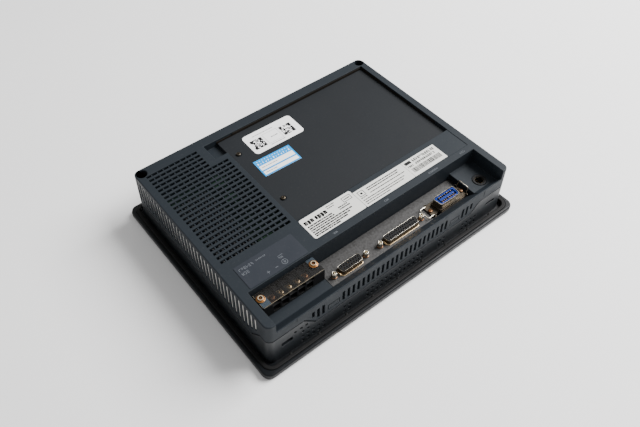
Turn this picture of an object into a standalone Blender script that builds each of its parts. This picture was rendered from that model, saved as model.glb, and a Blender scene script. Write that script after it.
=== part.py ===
"""A 10.4 inch industrial operator panel, lying on its screen, as an assembly of separate pieces.

The origin is the centre of the underside. +Z points from the screen to the rear face, +Y to the long edge
without sockets and +X to the right as seen from behind. All sizes below are millimetres; the helper
functions turn them into metres.
"""

import math

import bmesh
import bpy
from mathutils import Matrix, Vector

MM = 0.001
GAP = 0.3          # clearance between neighbouring pieces
PAST = 3.0         # how far a cutter runs out of the face that it opens
OVERLAP = 0.5      # how far a joined body reaches into the one it joins
CORNER_STEPS = 5
ROUND_STEPS = 14
SMALL_STEPS = 8    # for pins and small holes
SMOOTH_ANGLE = 30.0

# Front bezel: a flange all round the window, and a raised rim that carries the gasket.
BEZEL_WIDTH = 317.0
BEZEL_HEIGHT = 243.0
BEZEL_CORNER = 8.2
BEZEL_FLOOR = 2.0
RIM_TOP = 7.0
RIM_LEFT, RIM_RIGHT = -150.4, 150.4
RIM_FRONT, RIM_BACK = -114.0, 116.0
RIM_CORNER = 6.0
WINDOW_WIDTH, WINDOW_HEIGHT = 215.0, 163.0
BEZEL_EDGE = 1.2
GASKET_WIDTH = 4.0
GASKET_SEAT, GASKET_BOTTOM, GASKET_TOP = 5.2, 5.5, 7.6

# The screen, its boards and its lamp lens: left, right, front, back, bottom, top.
TOUCH_PANEL = (-115.0, 115.0, -88.0, 88.0, 2.3, 4.1)
DISPLAY = (-122.5, 122.5, -93.5, 93.5, 4.4, 13.4)
INVERTER = (-120.0, 20.0, -101.5, -95.5, 6.0, 13.5)
LENS_X, LENS_Y = -120.0, -98.0
LENS_RADIUS = 1.5
LENS_Z = (0.1, 4.0)
CABLE_X = (10.0, 50.0)
CABLE_START_Y, CABLE_BEND_Y, CABLE_END_Y = 60.0, 100.5, 90.0
CABLE_LOW, CABLE_HIGH = 13.7, 23.6
CABLE_THICKNESS = 0.5

# Rear body.
BODY_LEFT, BODY_RIGHT = -147.4, 148.2
BODY_FRONT, BODY_BACK = -109.5, 114.6
BODY_CORNER = 6.2
BODY_BOTTOM = 2.3
BODY_TOP = 58.7
BODY_EDGE = 1.2
BODY_EDGE_MIDDLE = 0.35
DRAFT = 0.6
BACK_DRAFT = 0.4
WALL = 2.5
LEDGE = 9.0
FRONT_LEDGE = 7.0
CASE_FLOOR = BODY_BOTTOM + WALL

# The front case meets the rear cover on a line that rises at the two front corners.
PARTING = 22.0
TOWERS = ((-1, 97.0, 110.0, 35.5), (1, 98.0, 113.0, 33.5))
TOWER_FOOT_Y, TOWER_HEAD_Y = -85.0, -98.0
TOWER_OUTER_X, TOWER_OUTER_Y = 160.0, -125.0
TOWER_SUNK = 2.0
CASE_BLANK_TOP = 40.0
CASE_BOSS_RADIUS, CASE_BOSS_BOTTOM = 5.5, 3.5

# Connector well along the front edge of the rear face.
WELL_LEFT, WELL_RIGHT = -138.3, 139.5
WELL_BACK = -69.7
WELL_FLOOR = 36.0
WELL_UNDERSIDE = 31.5
RAMP_FOOT_Y, RAMP_HEAD_Y = -98.3, -108.5
SILL_TOP, SILL_UNDERSIDE = 47.0, 41.5
BLOCK_LEFT = 108.5
BLOCK_TOP = 42.3
BLOCK_FRONT = -103.0
PLATE_LEFT, PLATE_RIGHT = -68.0, 108.5
PLATE_TOP = 35.5
PLATE_THICKNESS = 1.2

# Vent grid on the rear face.
VENT_ROWS = 24
SHORT_ROWS = 5
VENT_FIRST_Y, VENT_PITCH = 100.3, 5.645
VENT_HEIGHT = 3.0
VENT_LEFT, VENT_RIGHT, VENT_SHORT_RIGHT = -139.3, -63.0, -82.1

# Vent slots in the front wall and the left wall.
FRONT_SLOT_PITCH = 5.86
FRONT_SLOT_WIDTH = 2.8
FRONT_SLOT_Z = (26.5, 39.5)
FRONT_SLOTS_MIDDLE = 23
FRONT_SLOTS_CENTRE = -0.5
FRONT_SLOT_SIDES = (-99.3, -93.7, -88.0, 87.2, 93.0, 98.8)
FRONT_SLOT_SHORT_X, FRONT_SLOT_SHORTER_BY = 97.0, 5.0
SLOT_DEPTH = 3.5
LATCH_WINDOWS = ((-83.0, -69.5), (69.7, 82.5))
LATCH_Z = (27.5, 34.5)
LATCH_DEPTH = 1.0
SIDE_SLOT_PITCH = 6.0
SIDE_SLOT_WIDTH = 2.4
SIDE_SLOT_FIRST_Y = 106.0
SIDE_SLOTS = 34
SIDE_SLOT_Z = (27.0, 54.0)
SIDE_SLOT_RISE_Y, SIDE_SLOT_RISE = -78.0, 0.75
HOLE_SIZE = 2.2
HOLE_ROWS = (6.2, 13.2)
HOLE_GROUPS = ((-111.0, 5), (-63.0, 2), (-35.2, 13), (59.0, 2), (91.5, 4))
HOLE_PITCH = 5.86
HOLE_DEPTH = 4.0
FIXING_WINDOWS = ((-134.0, -122.0, 24.0), (124.0, 136.0, 22.5))
FIXING_BOTTOM = 19.0

# Expansion bay and its cover.
BAY_LEFT, BAY_RIGHT = -58.0, 140.0
BAY_FRONT, BAY_BACK = -33.0, 102.5
BAY_LEDGE_TOP = 53.0
COVER_LEFT, COVER_RIGHT = -57.0, 139.6
COVER_FRONT, COVER_BACK = -32.6, 101.3
COVER_TOP = 54.9
COVER_THICKNESS = 1.6
COVER_CORNER = 1.5
COVER_SCREWS = ((-48.9, 74.5), (-48.9, -0.6))
OPENING_LEFT, OPENING_RIGHT = -43.0, 134.0
OPENING_FRONT, OPENING_BACK = -27.0, 96.0
FINGER_LEFT, FINGER_FRONT, FINGER_FLOOR = -73.2, 80.3, 50.7
FINGER_SLOPE = 3.0
CORNER_SCREWS = ((-140.2, 107.8), (142.3, 108.7))
COLUMN_RADIUS = 5.8
DRIVER_HOLE_RADIUS, DRIVER_HOLE_BOTTOM = 5.0, 30.0
SHANK_HOLE_RADIUS, SHANK_HOLE_BOTTOM = 2.1, 8.0
COVER_HOLE_RADIUS = 1.8
LABEL_SEAT_FRONT, LABEL_SEAT_DEPTH = -62.0, 0.4

# Card door in the right wall.
DOOR_FRONT, DOOR_BACK = 14.0, 69.4
DOOR_BOTTOM, DOOR_TOP = 25.0, 44.0
DOOR_THICKNESS = 1.6
DOOR_CLEARANCE = 0.5
DOOR_HEEL = 1.2
DOOR_PIN_X, DOOR_PIN_Y = BODY_RIGHT - WALL / 2, 67.4
DOOR_PIN_RADIUS, DOOR_PIN_REACH = 0.7, 1.0

# D-shaped sockets: centre x, half width at the wide side, half width at the narrow side.
SOCKET_Y = -90.4
AUX = (-41.1, 13.25, 11.7)
SIO = (22.25, 21.0, 19.5)
SOCKET_HALF_HEIGHT = 4.2
SOCKET_CORNER = 2.2
SHEET = 0.6
SHELL_TOP = 41.5
INSERT_BOTTOM = 26.2
INSERT_INSET = 1.0
INSERT_DROP = 0.6
FLANGE_Z = (32.8, 33.8)
FLANGE_HALF_DEPTH = 6.2
FLANGE_PAST_POST = 2.8
WELL_CLEARANCE = 0.7
JACK_REACH = 5.75
JACK_HOLE_RADIUS = 1.6
JACK_SHANK_RADIUS, JACK_SHANK_BOTTOM = 1.2, 30.0
JACK_HEX_RADIUS = 2.8
JACK_BORE_RADIUS, JACK_BORE_DEPTH = 1.3, 4.0

# Printer socket: half widths at the wide side and the narrow side, and half height, of each outline.
PRINTER_X, PRINTER_Y = 83.3, -89.9
PRINTER_TOP = 45.0
PRINTER_TUBE = (14.1, 12.6, 5.75)
PRINTER_TUBE_BORE = (13.4, 11.9, 5.05)
PRINTER_SKIRT = (16.0, 14.5, 6.8)
PRINTER_CORE = (13.0, 11.5, 4.7)
PRINTER_SKIRT_TOP = 39.5
PRINTER_PLATE_HOLE = (14.0, 6.2)
BRACKET_HALF_WIDTH, BRACKET_HALF_DEPTH = 24.0, 8.0
BRACKET_THICKNESS = 1.2
BRACKET_SCREW_X = 21.5
CONTACT_GROOVE = (11.0, 3.4)
CONTACT_TONGUE = (9.6, 1.3)
GROOVE_DEPTH = 6.0

# Tool socket.
TOOL_X, TOOL_Y = 125.8, -94.0
TOOL_RADIUS, TOOL_BORE_RADIUS = 7.2, 4.6
TOOL_BOTTOM, TOOL_PROUD, TOOL_BORE_DEPTH = 28.0, 0.6, 6.0
TOOL_STEPS = 20

# Wire bails on the printer socket.
BAIL_WIRE = 0.5
BAIL_Z = 38.2
BAIL_LEG = 8.0
BAIL_REACH = 22.0
BAIL_HALF_WIDTH = 6.1
BAIL_PIN = 2.3
BAIL_LEAN = 10.0
EAR_HALF_WIDTH, EAR_THICKNESS, EAR_ABOVE_PIN = 1.4, 1.0, 1.3

# Terminal block.
TERMINAL_LEFT, TERMINAL_RIGHT = -135.0, -68.6
TERMINAL_FRONT, TERMINAL_BACK = -87.5, -70.3
TERMINAL_TOP = 50.8
TERMINAL_FLOOR = 47.0
TERMINAL_X = (-112.3, -103.3, -94.3)
BLOCK_SCREW_X = (-121.3, -85.3)
TERMINAL_SCREW_Y = -80.6
TERMINAL_COVER_SCREWS = ((-131.4, -77.9), (-73.7, -77.4))

TERMINAL_END_LEFT, TERMINAL_END_RIGHT = 9.2, 12.2
TERMINAL_BARRIERS, TERMINAL_PITCH, BARRIER_HALF = 4, 9.0, 0.6
TERMINAL_BOTTOM = WELL_FLOOR + GAP
TERMINAL_HOLE_RADIUS, TERMINAL_HOLE_BOTTOM = 1.8, 38.0
COVER_SCREW_HOLE_RADIUS = 2.0
TERMINAL_COVER_THICKNESS = 1.0

# Screws: head height, head radius, lowest point of the shank, shank radius.
EXPANSION_SCREW = (1.3, 2.5, 49.0, 1.4)
CORNER_SCREW = (2.6, 3.8, 10.0, 1.75)
PRINTER_SCREW = (1.3, 2.3, 30.0, 1.2)
TERMINAL_SCREW = (2.2, 3.2, 40.0, 1.4)
BLOCK_SCREW = (2.2, 2.8, 40.0, 1.4)

# Boards.
CHASSIS_Z = (15.0, 16.2)
BOARD_Z = (21.0, 22.6)
CHASSIS_AREA = (-142.0, 142.0, -103.0, 97.0)
POSTS = ((-132, -50), (-132, 92), (-72, 92), (-52, 92), (128, 92), (128, -50))
POST_RADIUS = 3.0
MAIN_BOARD_AREA = (-58.0, 134.0, -62.0, 96.0)
POWER_BOARD_AREA = (-138.0, -64.0, -62.0, 96.0)
IO_BOARD = (-64.0, 106.0, -105.0, -72.0, 24.3, 25.9)
CHIPS = ((-20, -20, 28, 3.4), (30, -30, 20, 2.4), (70, -35, 24, 3.0), (-40, 55, 18, 2.2))
TRANSFORMER_AREA = (-92.0, -72.0, -40.0, -15.0)
TRANSFORMER_HEIGHT = 18.0
CAPACITORS = ((-82, 62, 9, 25), (-82, 40, 7, 20))
BATTERY_PLACE = (15.0, 70.0)
BATTERY_RADIUS, BATTERY_HEIGHT = 10.0, 3.5
BAY_SOCKET = (0.0, 70.0, 30.0, 38.0, BOARD_Z[1] + GAP, 46.0)
BAY_SOCKET_SLOT = (3.0, 67.0, 32.0, 36.0, 38.0, 48.0)

# Heat sink on the power board.
SINK_LEFT, SINK_Y, SINK_TOP = -134.0, (-30.0, 60.0), 50.0
SINK_BASE = 4.0
FINS, FIN, FIN_SPACE = 6, 1.6, 4.8

# Memory card socket, its push button, and the setting switches beside it.
CARD_SOCKET = (96.0, 132.0, 20.0, 64.5)
CARD_MIDDLE = BOARD_Z[1] + 8.0
CARD_HALF_HEIGHT = 2.7
CARD_Y = (22.4, 55.6)
CARD_WALL = 4.0
BUTTON_LENGTH, BUTTON_PROUD = 24.0, 7.5
EJECT_Y = 61.2
EJECT_WIDTH = 3.6
SWITCH_BACK, SWITCH_DEPTH = 17.0, 12.0
LEVERS = 4
LEVER_TRAVEL = 1.2
LEVER_WIDTH = 1.3
LEVER_PITCH = 2.54
LEVER_FIRST_INSET = 1.9
LEVER_SLOT_DEPTH, LEVER_PROUD = 1.5, 0.9

# Labels: name, material, (left, right, front, back), what it lies on, corner radius, turn in degrees.
SEAT_TOP = BODY_TOP - LABEL_SEAT_DEPTH
LABELS = (
    ("rating_label", "paper", (-57.6, 4.0, -60.8, -34.7), SEAT_TOP, 2.0, 0.0),
    ("approval_label", "paper", (4.4, 67.0, -61.0, -39.2), SEAT_TOP, 0.5, 0.0),
    ("serial_label", "paper", (67.3, 111.8, -61.0, -39.2), SEAT_TOP, 0.5, 0.0),
    ("power_label", "film", (-134.5, -71.7, -68.3, -41.7), BODY_TOP, 0.8, 0.0),
    ("asset_label", "paper", (-34.4, 26.3, 61.4, 91.4), COVER_TOP, 4.0, -1.0),
    ("inspection_sticker", "paper", (-45.0, -1.5, 31.5, 55.0), COVER_TOP, 0.3, -2.0),
)
LABEL_GAP, LABEL_THICKNESS = 0.15, 0.2


def clear_scene():
    for thing in list(bpy.data.objects):
        bpy.data.objects.remove(thing, do_unlink=True)


# Materials

def make_material(name, colour, roughness, metallic=0.0):
    material = bpy.data.materials.new(name)
    material.use_nodes = True
    shader = material.node_tree.nodes["Principled BSDF"]
    shader.inputs["Base Color"].default_value = (*colour, 1.0)
    shader.inputs["Roughness"].default_value = roughness
    shader.inputs["Metallic"].default_value = metallic
    material.diffuse_color = (*colour, 1.0)
    return material


def make_materials():
    return {
        "housing": make_material("housing", (0.045, 0.056, 0.068), 0.45),
        "cover": make_material("cover", (0.052, 0.055, 0.060), 0.55),
        "rubber": make_material("rubber", (0.020, 0.018, 0.016), 0.75),
        "black": make_material("black", (0.012, 0.012, 0.013), 0.45),
        "steel": make_material("steel", (0.50, 0.50, 0.49), 0.35, 1.0),
        "zinc": make_material("zinc", (0.62, 0.60, 0.56), 0.30, 1.0),
        "brass": make_material("brass", (0.60, 0.36, 0.16), 0.35, 1.0),
        "blue": make_material("blue", (0.02, 0.12, 0.50), 0.40),
        "paper": make_material("paper", (0.78, 0.78, 0.74), 0.60),
        "film": make_material("film", (0.075, 0.078, 0.092), 0.50),
        "clear": make_material("clear", (0.70, 0.74, 0.76), 0.08),
        "glass": make_material("glass", (0.020, 0.022, 0.025), 0.08),
        "board": make_material("board", (0.020, 0.110, 0.045), 0.50),
        "aluminium": make_material("aluminium", (0.55, 0.56, 0.57), 0.40, 1.0),
        "white": make_material("white", (0.72, 0.72, 0.70), 0.50),
        "ribbon": make_material("ribbon", (0.45, 0.26, 0.08), 0.45),
    }


# Outlines, as lists of points in a plane

def rounded_outline(left, right, front, back, radius, steps=CORNER_STEPS):
    """Points round a rectangle with round corners, anticlockwise."""
    centres = (
        (right - radius, back - radius, 0),
        (left + radius, back - radius, 90),
        (left + radius, front + radius, 180),
        (right - radius, front + radius, 270),
    )
    points = []
    for x, y, start in centres:
        for step in range(steps + 1):
            angle = math.radians(start + 90 * step / steps)
            points.append((x + radius * math.cos(angle), y + radius * math.sin(angle)))
    return points


def circle_outline(x, y, radius, steps=ROUND_STEPS):
    turn = 2 * math.pi / steps
    return [(x + radius * math.cos(i * turn), y + radius * math.sin(i * turn)) for i in range(steps)]


def d_outline(x, y, half_back, half_front, half_height, radius, steps=3):
    """The outline of a D-shaped socket: wide at the back, narrow at the front, with round corners."""
    corners = (
        Vector((half_back, half_height)),
        Vector((-half_back, half_height)),
        Vector((-half_front, -half_height)),
        Vector((half_front, -half_height)),
    )
    points = []
    for i, corner in enumerate(corners):
        before = (corners[i - 1] - corner).normalized()
        after = (corners[(i + 1) % 4] - corner).normalized()
        half_angle = before.angle(after) / 2
        centre = corner + (before + after).normalized() * (radius / math.sin(half_angle))
        start = corner + before * (radius / math.tan(half_angle)) - centre
        sweep = math.pi - 2 * half_angle
        for step in range(steps + 1):
            turned = Matrix.Rotation(sweep * step / steps, 2) @ start
            points.append((x + centre.x + turned.x, y + centre.y + turned.y))
    return points


# Closed bodies, added to a mesh that is being built

def add_loft(mesh, rings):
    """A closed body through rings that have the same number of points each."""
    loops = [[mesh.verts.new(Vector(point) * MM) for point in ring] for ring in rings]
    for lower, upper in zip(loops, loops[1:]):
        for i in range(len(lower)):
            j = (i + 1) % len(lower)
            mesh.faces.new((lower[i], lower[j], upper[j], upper[i]))
    mesh.faces.new(list(reversed(loops[0])))
    mesh.faces.new(loops[-1])


def add_prism(mesh, outline, low, high, axis="Z"):
    """An outline pushed along an axis: (x, y) along Z, (x, z) along Y, (y, z) along X."""
    place = {
        "Z": lambda point, depth: (point[0], point[1], depth),
        "Y": lambda point, depth: (point[0], depth, point[1]),
        "X": lambda point, depth: (depth, point[0], point[1]),
    }[axis]
    add_loft(mesh, [[place(point, depth) for point in outline] for depth in (low, high)])


def add_block(mesh, left, right, front, back, bottom, top):
    add_prism(mesh, [(left, front), (right, front), (right, back), (left, back)], bottom, top)


def add_ring(mesh, outer, inner, low, high):
    """A frame between two outlines that have the same number of points."""
    count = len(outer)
    loops = [
        [mesh.verts.new(Vector((x, y, z)) * MM) for x, y in outline]
        for outline, z in ((outer, low), (outer, high), (inner, high), (inner, low))
    ]
    for k, loop in enumerate(loops):
        following = loops[(k + 1) % 4]
        for i in range(count):
            j = (i + 1) % count
            mesh.faces.new((loop[i], loop[j], following[j], following[i]))


def add_wire(mesh, path, radius, sides=8):
    """A round wire along a path of straight runs, with mitred bends and flat ends."""
    points = [Vector(point) for point in path]
    directions = [(b - a).normalized() for a, b in zip(points, points[1:])]
    normal = directions[0].cross(directions[1]).normalized()
    across = normal.cross(directions[0]).normalized()
    rings = []
    for i, point in enumerate(points):
        before = directions[max(i - 1, 0)]
        after = directions[min(i, len(directions) - 1)]
        if i > 0:
            across = normal.cross(before).normalized()
        mitre = (before + after).normalized()
        ring = []
        for side in range(sides):
            angle = 2 * math.pi * side / sides
            offset = (across * math.cos(angle) + normal * math.sin(angle)) * radius
            slide = -offset.dot(mitre) / before.dot(mitre)
            ring.append(point + offset + before * slide)
        rings.append(ring)
    add_loft(mesh, rings)


# Objects

def make_object(name, mesh, material=None, origin=(0, 0, 0)):
    """Turns a built mesh into an object whose origin is at a point, with its faces pointing out."""
    bmesh.ops.recalc_face_normals(mesh, faces=mesh.faces)
    bmesh.ops.translate(mesh, verts=mesh.verts, vec=-Vector(origin) * MM)
    data = bpy.data.meshes.new(name)
    mesh.to_mesh(data)
    mesh.free()
    data.shade_smooth()
    data.set_sharp_from_angle(angle=math.radians(SMOOTH_ANGLE))
    thing = bpy.data.objects.new(name, data)
    thing.location = Vector(origin) * MM
    bpy.context.scene.collection.objects.link(thing)
    if material:
        data.materials.append(material)
    return thing


def make_guide(name, mesh):
    """A body that only shapes others: it cuts them or is joined to them."""
    guide = make_object(name, mesh)
    guide.hide_render = True
    guide.display_type = "WIRE"
    return guide


def shape_with(thing, guide, operation):
    modifier = thing.modifiers.new(guide.name, "BOOLEAN")
    modifier.operation = operation
    modifier.solver = "EXACT"
    modifier.object = guide


def cut(thing, name, mesh):
    shape_with(thing, make_guide(name, mesh), "DIFFERENCE")


def join(thing, name, mesh):
    shape_with(thing, make_guide(name, mesh), "UNION")


def block_object(name, material, *bounds):
    mesh = bmesh.new()
    add_block(mesh, *bounds)
    return make_object(name, mesh, material)


def block_mesh(*bounds):
    mesh = bmesh.new()
    add_block(mesh, *bounds)
    return mesh


def prism_mesh(outline, low, high, axis="Z"):
    mesh = bmesh.new()
    add_prism(mesh, outline, low, high, axis)
    return mesh


def add_turned(mesh, place, levels, steps=ROUND_STEPS):
    """A round body along Z, given as (z, radius) pairs from the bottom up."""
    add_loft(mesh, [[(x, y, z) for x, y in circle_outline(*place, r, steps)] for z, r in levels])


def screw_object(name, material, place, seat, size):
    """A screw along Z: a shank below a head with a slightly rounded top."""
    head_height, head_radius, shank_bottom, shank_radius = size
    mesh = bmesh.new()
    levels = (
        (shank_bottom, shank_radius),
        (seat, shank_radius),
        (seat, head_radius),
        (seat + head_height * 0.6, head_radius),
        (seat + head_height, head_radius * 0.75),
    )
    add_turned(mesh, place, levels)
    make_object(name, mesh, material)


# Screen side

def make_bezel(paint):
    half_width, half_height = BEZEL_WIDTH / 2, BEZEL_HEIGHT / 2
    mesh = bmesh.new()
    levels = ((0.0, BEZEL_EDGE), (BEZEL_EDGE, 0.0), (RIM_TOP - BEZEL_EDGE, 0.0), (RIM_TOP, BEZEL_EDGE))
    rings = []
    for z, inset in levels:
        outline = rounded_outline(
            inset - half_width, half_width - inset, inset - half_height, half_height - inset,
            BEZEL_CORNER - inset,
        )
        rings.append([(x, y, z) for x, y in outline])
    add_loft(mesh, rings)
    bezel = make_object("front_bezel", mesh, paint)
    half_window, half_opening = WINDOW_WIDTH / 2, WINDOW_HEIGHT / 2
    window = block_mesh(
        -half_window, half_window, -half_opening, half_opening, -PAST, BEZEL_FLOOR + PAST
    )
    cut(bezel, "window_cut", window)
    tray = rounded_outline(RIM_LEFT, RIM_RIGHT, RIM_FRONT, RIM_BACK, RIM_CORNER)
    cut(bezel, "tray_cut", prism_mesh(tray, BEZEL_FLOOR, RIM_TOP + PAST))
    seat = prism_mesh(gasket_outline(GASKET_WIDTH + 2 * GAP), GASKET_SEAT, RIM_TOP + PAST)
    cut(bezel, "gasket_seat_cut", seat)
    lens_hole = circle_outline(LENS_X, LENS_Y, LENS_RADIUS + GAP)
    cut(bezel, "lens_cut", prism_mesh(lens_hole, -PAST, BEZEL_FLOOR + PAST))


def gasket_outline(grow):
    return rounded_outline(
        RIM_LEFT - grow, RIM_RIGHT + grow, RIM_FRONT - grow, RIM_BACK + grow, RIM_CORNER + grow
    )


def make_screen(paints):
    block_object("touch_panel", paints["glass"], *TOUCH_PANEL)
    block_object("lcd_module", paints["black"], *DISPLAY)
    block_object("backlight_inverter", paints["board"], *INVERTER)
    lens = prism_mesh(circle_outline(LENS_X, LENS_Y, LENS_RADIUS), *LENS_Z)
    make_object("status_lens", lens, paints["white"])
    mesh = bmesh.new()
    add_ring(mesh, gasket_outline(GASKET_WIDTH + GAP), gasket_outline(GAP), GASKET_BOTTOM, GASKET_TOP)
    make_object("gasket", mesh, paints["rubber"])
    inner_y, inner_low = CABLE_BEND_Y - CABLE_THICKNESS, CABLE_LOW + CABLE_THICKNESS
    inner_high = CABLE_HIGH - CABLE_THICKNESS
    ribbon = [
        (CABLE_START_Y, CABLE_LOW), (CABLE_BEND_Y, CABLE_LOW), (CABLE_BEND_Y, CABLE_HIGH),
        (CABLE_END_Y, CABLE_HIGH), (CABLE_END_Y, inner_high), (inner_y, inner_high),
        (inner_y, inner_low), (CABLE_START_Y, inner_low),
    ]
    make_object("lcd_cable", prism_mesh(ribbon, *CABLE_X, "X"), paints["ribbon"])


# Body shells

def body_ring(z, inset=0.0):
    """The body's outline at a height; its walls spread a little towards the bezel."""
    spread = DRAFT * (BODY_TOP - z) / (BODY_TOP - BODY_BOTTOM) - inset
    outline = rounded_outline(
        BODY_LEFT - spread, BODY_RIGHT + spread, BODY_FRONT - spread, BODY_BACK + min(spread, BACK_DRAFT),
        BODY_CORNER + spread,
    )
    return [(x, y, z) for x, y in outline]


def tower_body(mesh, side, foot, head, top, grow, clear=None):
    """A corner block with two sloping sides, where the front case rises to its high corners.

    It can be narrowed to the thickness of the front wall or of the side wall.
    """
    slope_x = (foot - head) / (top - PARTING)
    slope_y = (TOWER_FOOT_Y - TOWER_HEAD_Y) / (top - PARTING)
    rings = []
    for z in (PARTING - TOWER_SUNK, top):
        inner_x = side * (head + slope_x * (top - z) - grow)
        inner_y = TOWER_HEAD_Y + slope_y * (top - z) + grow
        if clear == "front":
            inner_y = BODY_FRONT + WALL + grow
        if clear == "side":
            inner_x = (BODY_LEFT + WALL if side < 0 else BODY_RIGHT - WALL) - side * grow
        left, right = sorted((side * TOWER_OUTER_X, inner_x))
        corners = ((left, TOWER_OUTER_Y), (right, TOWER_OUTER_Y), (right, inner_y), (left, inner_y))
        rings.append([(x, y, z + grow) for x, y in corners])
    add_loft(mesh, rings)


def towers_mesh(grow, clear=None):
    mesh = bmesh.new()
    for side, foot, head, top in TOWERS:
        tower_body(mesh, side, foot, head, top, grow, clear)
    return mesh


def slot_centres():
    """Places of the upright slots in the front wall."""
    first = FRONT_SLOTS_CENTRE - (FRONT_SLOTS_MIDDLE - 1) / 2 * FRONT_SLOT_PITCH
    middle = [first + i * FRONT_SLOT_PITCH for i in range(FRONT_SLOTS_MIDDLE)]
    return middle + list(FRONT_SLOT_SIDES)


def make_front_case(paint):
    mesh = bmesh.new()
    add_loft(mesh, [body_ring(BODY_BOTTOM), body_ring(CASE_BLANK_TOP)])
    case = make_object("front_case", mesh, paint)
    inner = rounded_outline(
        BODY_LEFT + WALL, BODY_RIGHT - WALL, BODY_FRONT + WALL, BODY_BACK - WALL, BODY_CORNER - WALL
    )
    cut(case, "case_cavity_cut", prism_mesh(inner, CASE_FLOOR, CASE_BLANK_TOP + PAST))
    opening = block_mesh(
        BODY_LEFT + LEDGE, BODY_RIGHT - LEDGE, BODY_FRONT + FRONT_LEDGE, BODY_BACK - LEDGE,
        BODY_BOTTOM - PAST, CASE_FLOOR + PAST,
    )
    cut(case, "case_opening_cut", opening)
    reach = BEZEL_WIDTH / 2 + PAST
    above = make_guide("above_parting", block_mesh(-reach, reach, -reach, reach, PARTING, BODY_TOP))
    shape_with(above, make_guide("towers", towers_mesh(0.0)), "DIFFERENCE")
    shape_with(case, above, "DIFFERENCE")
    bosses = bmesh.new()
    for x, y in CORNER_SCREWS:
        add_prism(bosses, circle_outline(x, y, CASE_BOSS_RADIUS), CASE_BOSS_BOTTOM, PARTING - 2)
    join(case, "case_bosses", bosses)
    holes = bmesh.new()
    for x, y in CORNER_SCREWS:
        add_prism(holes, circle_outline(x, y, SHANK_HOLE_RADIUS), SHANK_HOLE_BOTTOM, PARTING + 2)
    for start, count in HOLE_GROUPS:
        for i in range(count):
            x = start + i * HOLE_PITCH
            for z in HOLE_ROWS:
                add_block(
                    holes, x - HOLE_SIZE / 2, x + HOLE_SIZE / 2, BODY_FRONT - PAST, BODY_FRONT + HOLE_DEPTH,
                    z - HOLE_SIZE / 2, z + HOLE_SIZE / 2,
                )
    for left, right, top in FIXING_WINDOWS:
        add_block(holes, left, right, BODY_FRONT - PAST, BODY_FRONT + HOLE_DEPTH, FIXING_BOTTOM, top)
    cut(case, "case_holes_cut", holes)


def make_rear_cover(paint):
    mesh = bmesh.new()
    rings = [body_ring(PARTING + GAP), body_ring(BODY_TOP - BODY_EDGE)]
    rings.append(body_ring(BODY_TOP - BODY_EDGE_MIDDLE, BODY_EDGE_MIDDLE))
    rings.append(body_ring(BODY_TOP, BODY_EDGE))
    add_loft(mesh, rings)
    cover = make_object("rear_cover", mesh, paint)
    cut(cover, "cavity_cut", cavity_mesh())
    ceiling = BODY_TOP - WALL
    bay_frame = block_mesh(
        BAY_LEFT - WALL, BAY_RIGHT + WALL, BAY_FRONT - WALL, BAY_BACK + WALL, BAY_LEDGE_TOP - WALL,
        ceiling + OVERLAP,
    )
    join(cover, "bay_frame", bay_frame)
    finger_frame = block_mesh(
        FINGER_LEFT - WALL, BAY_LEFT + 1, FINGER_FRONT - WALL, BAY_BACK + WALL + 0.2, FINGER_FLOOR - WALL,
        ceiling + OVERLAP - 0.1,
    )
    join(cover, "finger_frame", finger_frame)
    columns = bmesh.new()
    for x, y in CORNER_SCREWS:
        column = circle_outline(x, y, COLUMN_RADIUS)
        add_prism(columns, column, PARTING + GAP + 0.2, ceiling + OVERLAP + 0.1)
    join(cover, "screw_columns", columns)
    cut(cover, "front_towers_cut", towers_mesh(GAP, "front"))
    cut(cover, "side_towers_cut", towers_mesh(GAP, "side"))
    cut_well(cover)
    cut_bay(cover)
    cut(cover, "vents_cut", vents_mesh())
    cut_door_opening(cover)


def cavity_mesh():
    """The hollow inside the rear cover, which runs under the connector well and its ramp."""
    below = PARTING - PAST
    profile = [
        (BODY_FRONT + WALL, below),
        (BODY_FRONT + WALL, SILL_UNDERSIDE),
        (RAMP_FOOT_Y - GAP, WELL_UNDERSIDE),
        (WELL_BACK + WALL, WELL_UNDERSIDE),
        (WELL_BACK + WALL, BODY_TOP - WALL),
        (BODY_BACK - WALL, BODY_TOP - WALL),
        (BODY_BACK - WALL, below),
    ]
    return prism_mesh(profile, BODY_LEFT + WALL, BODY_RIGHT - WALL, "X")


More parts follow.
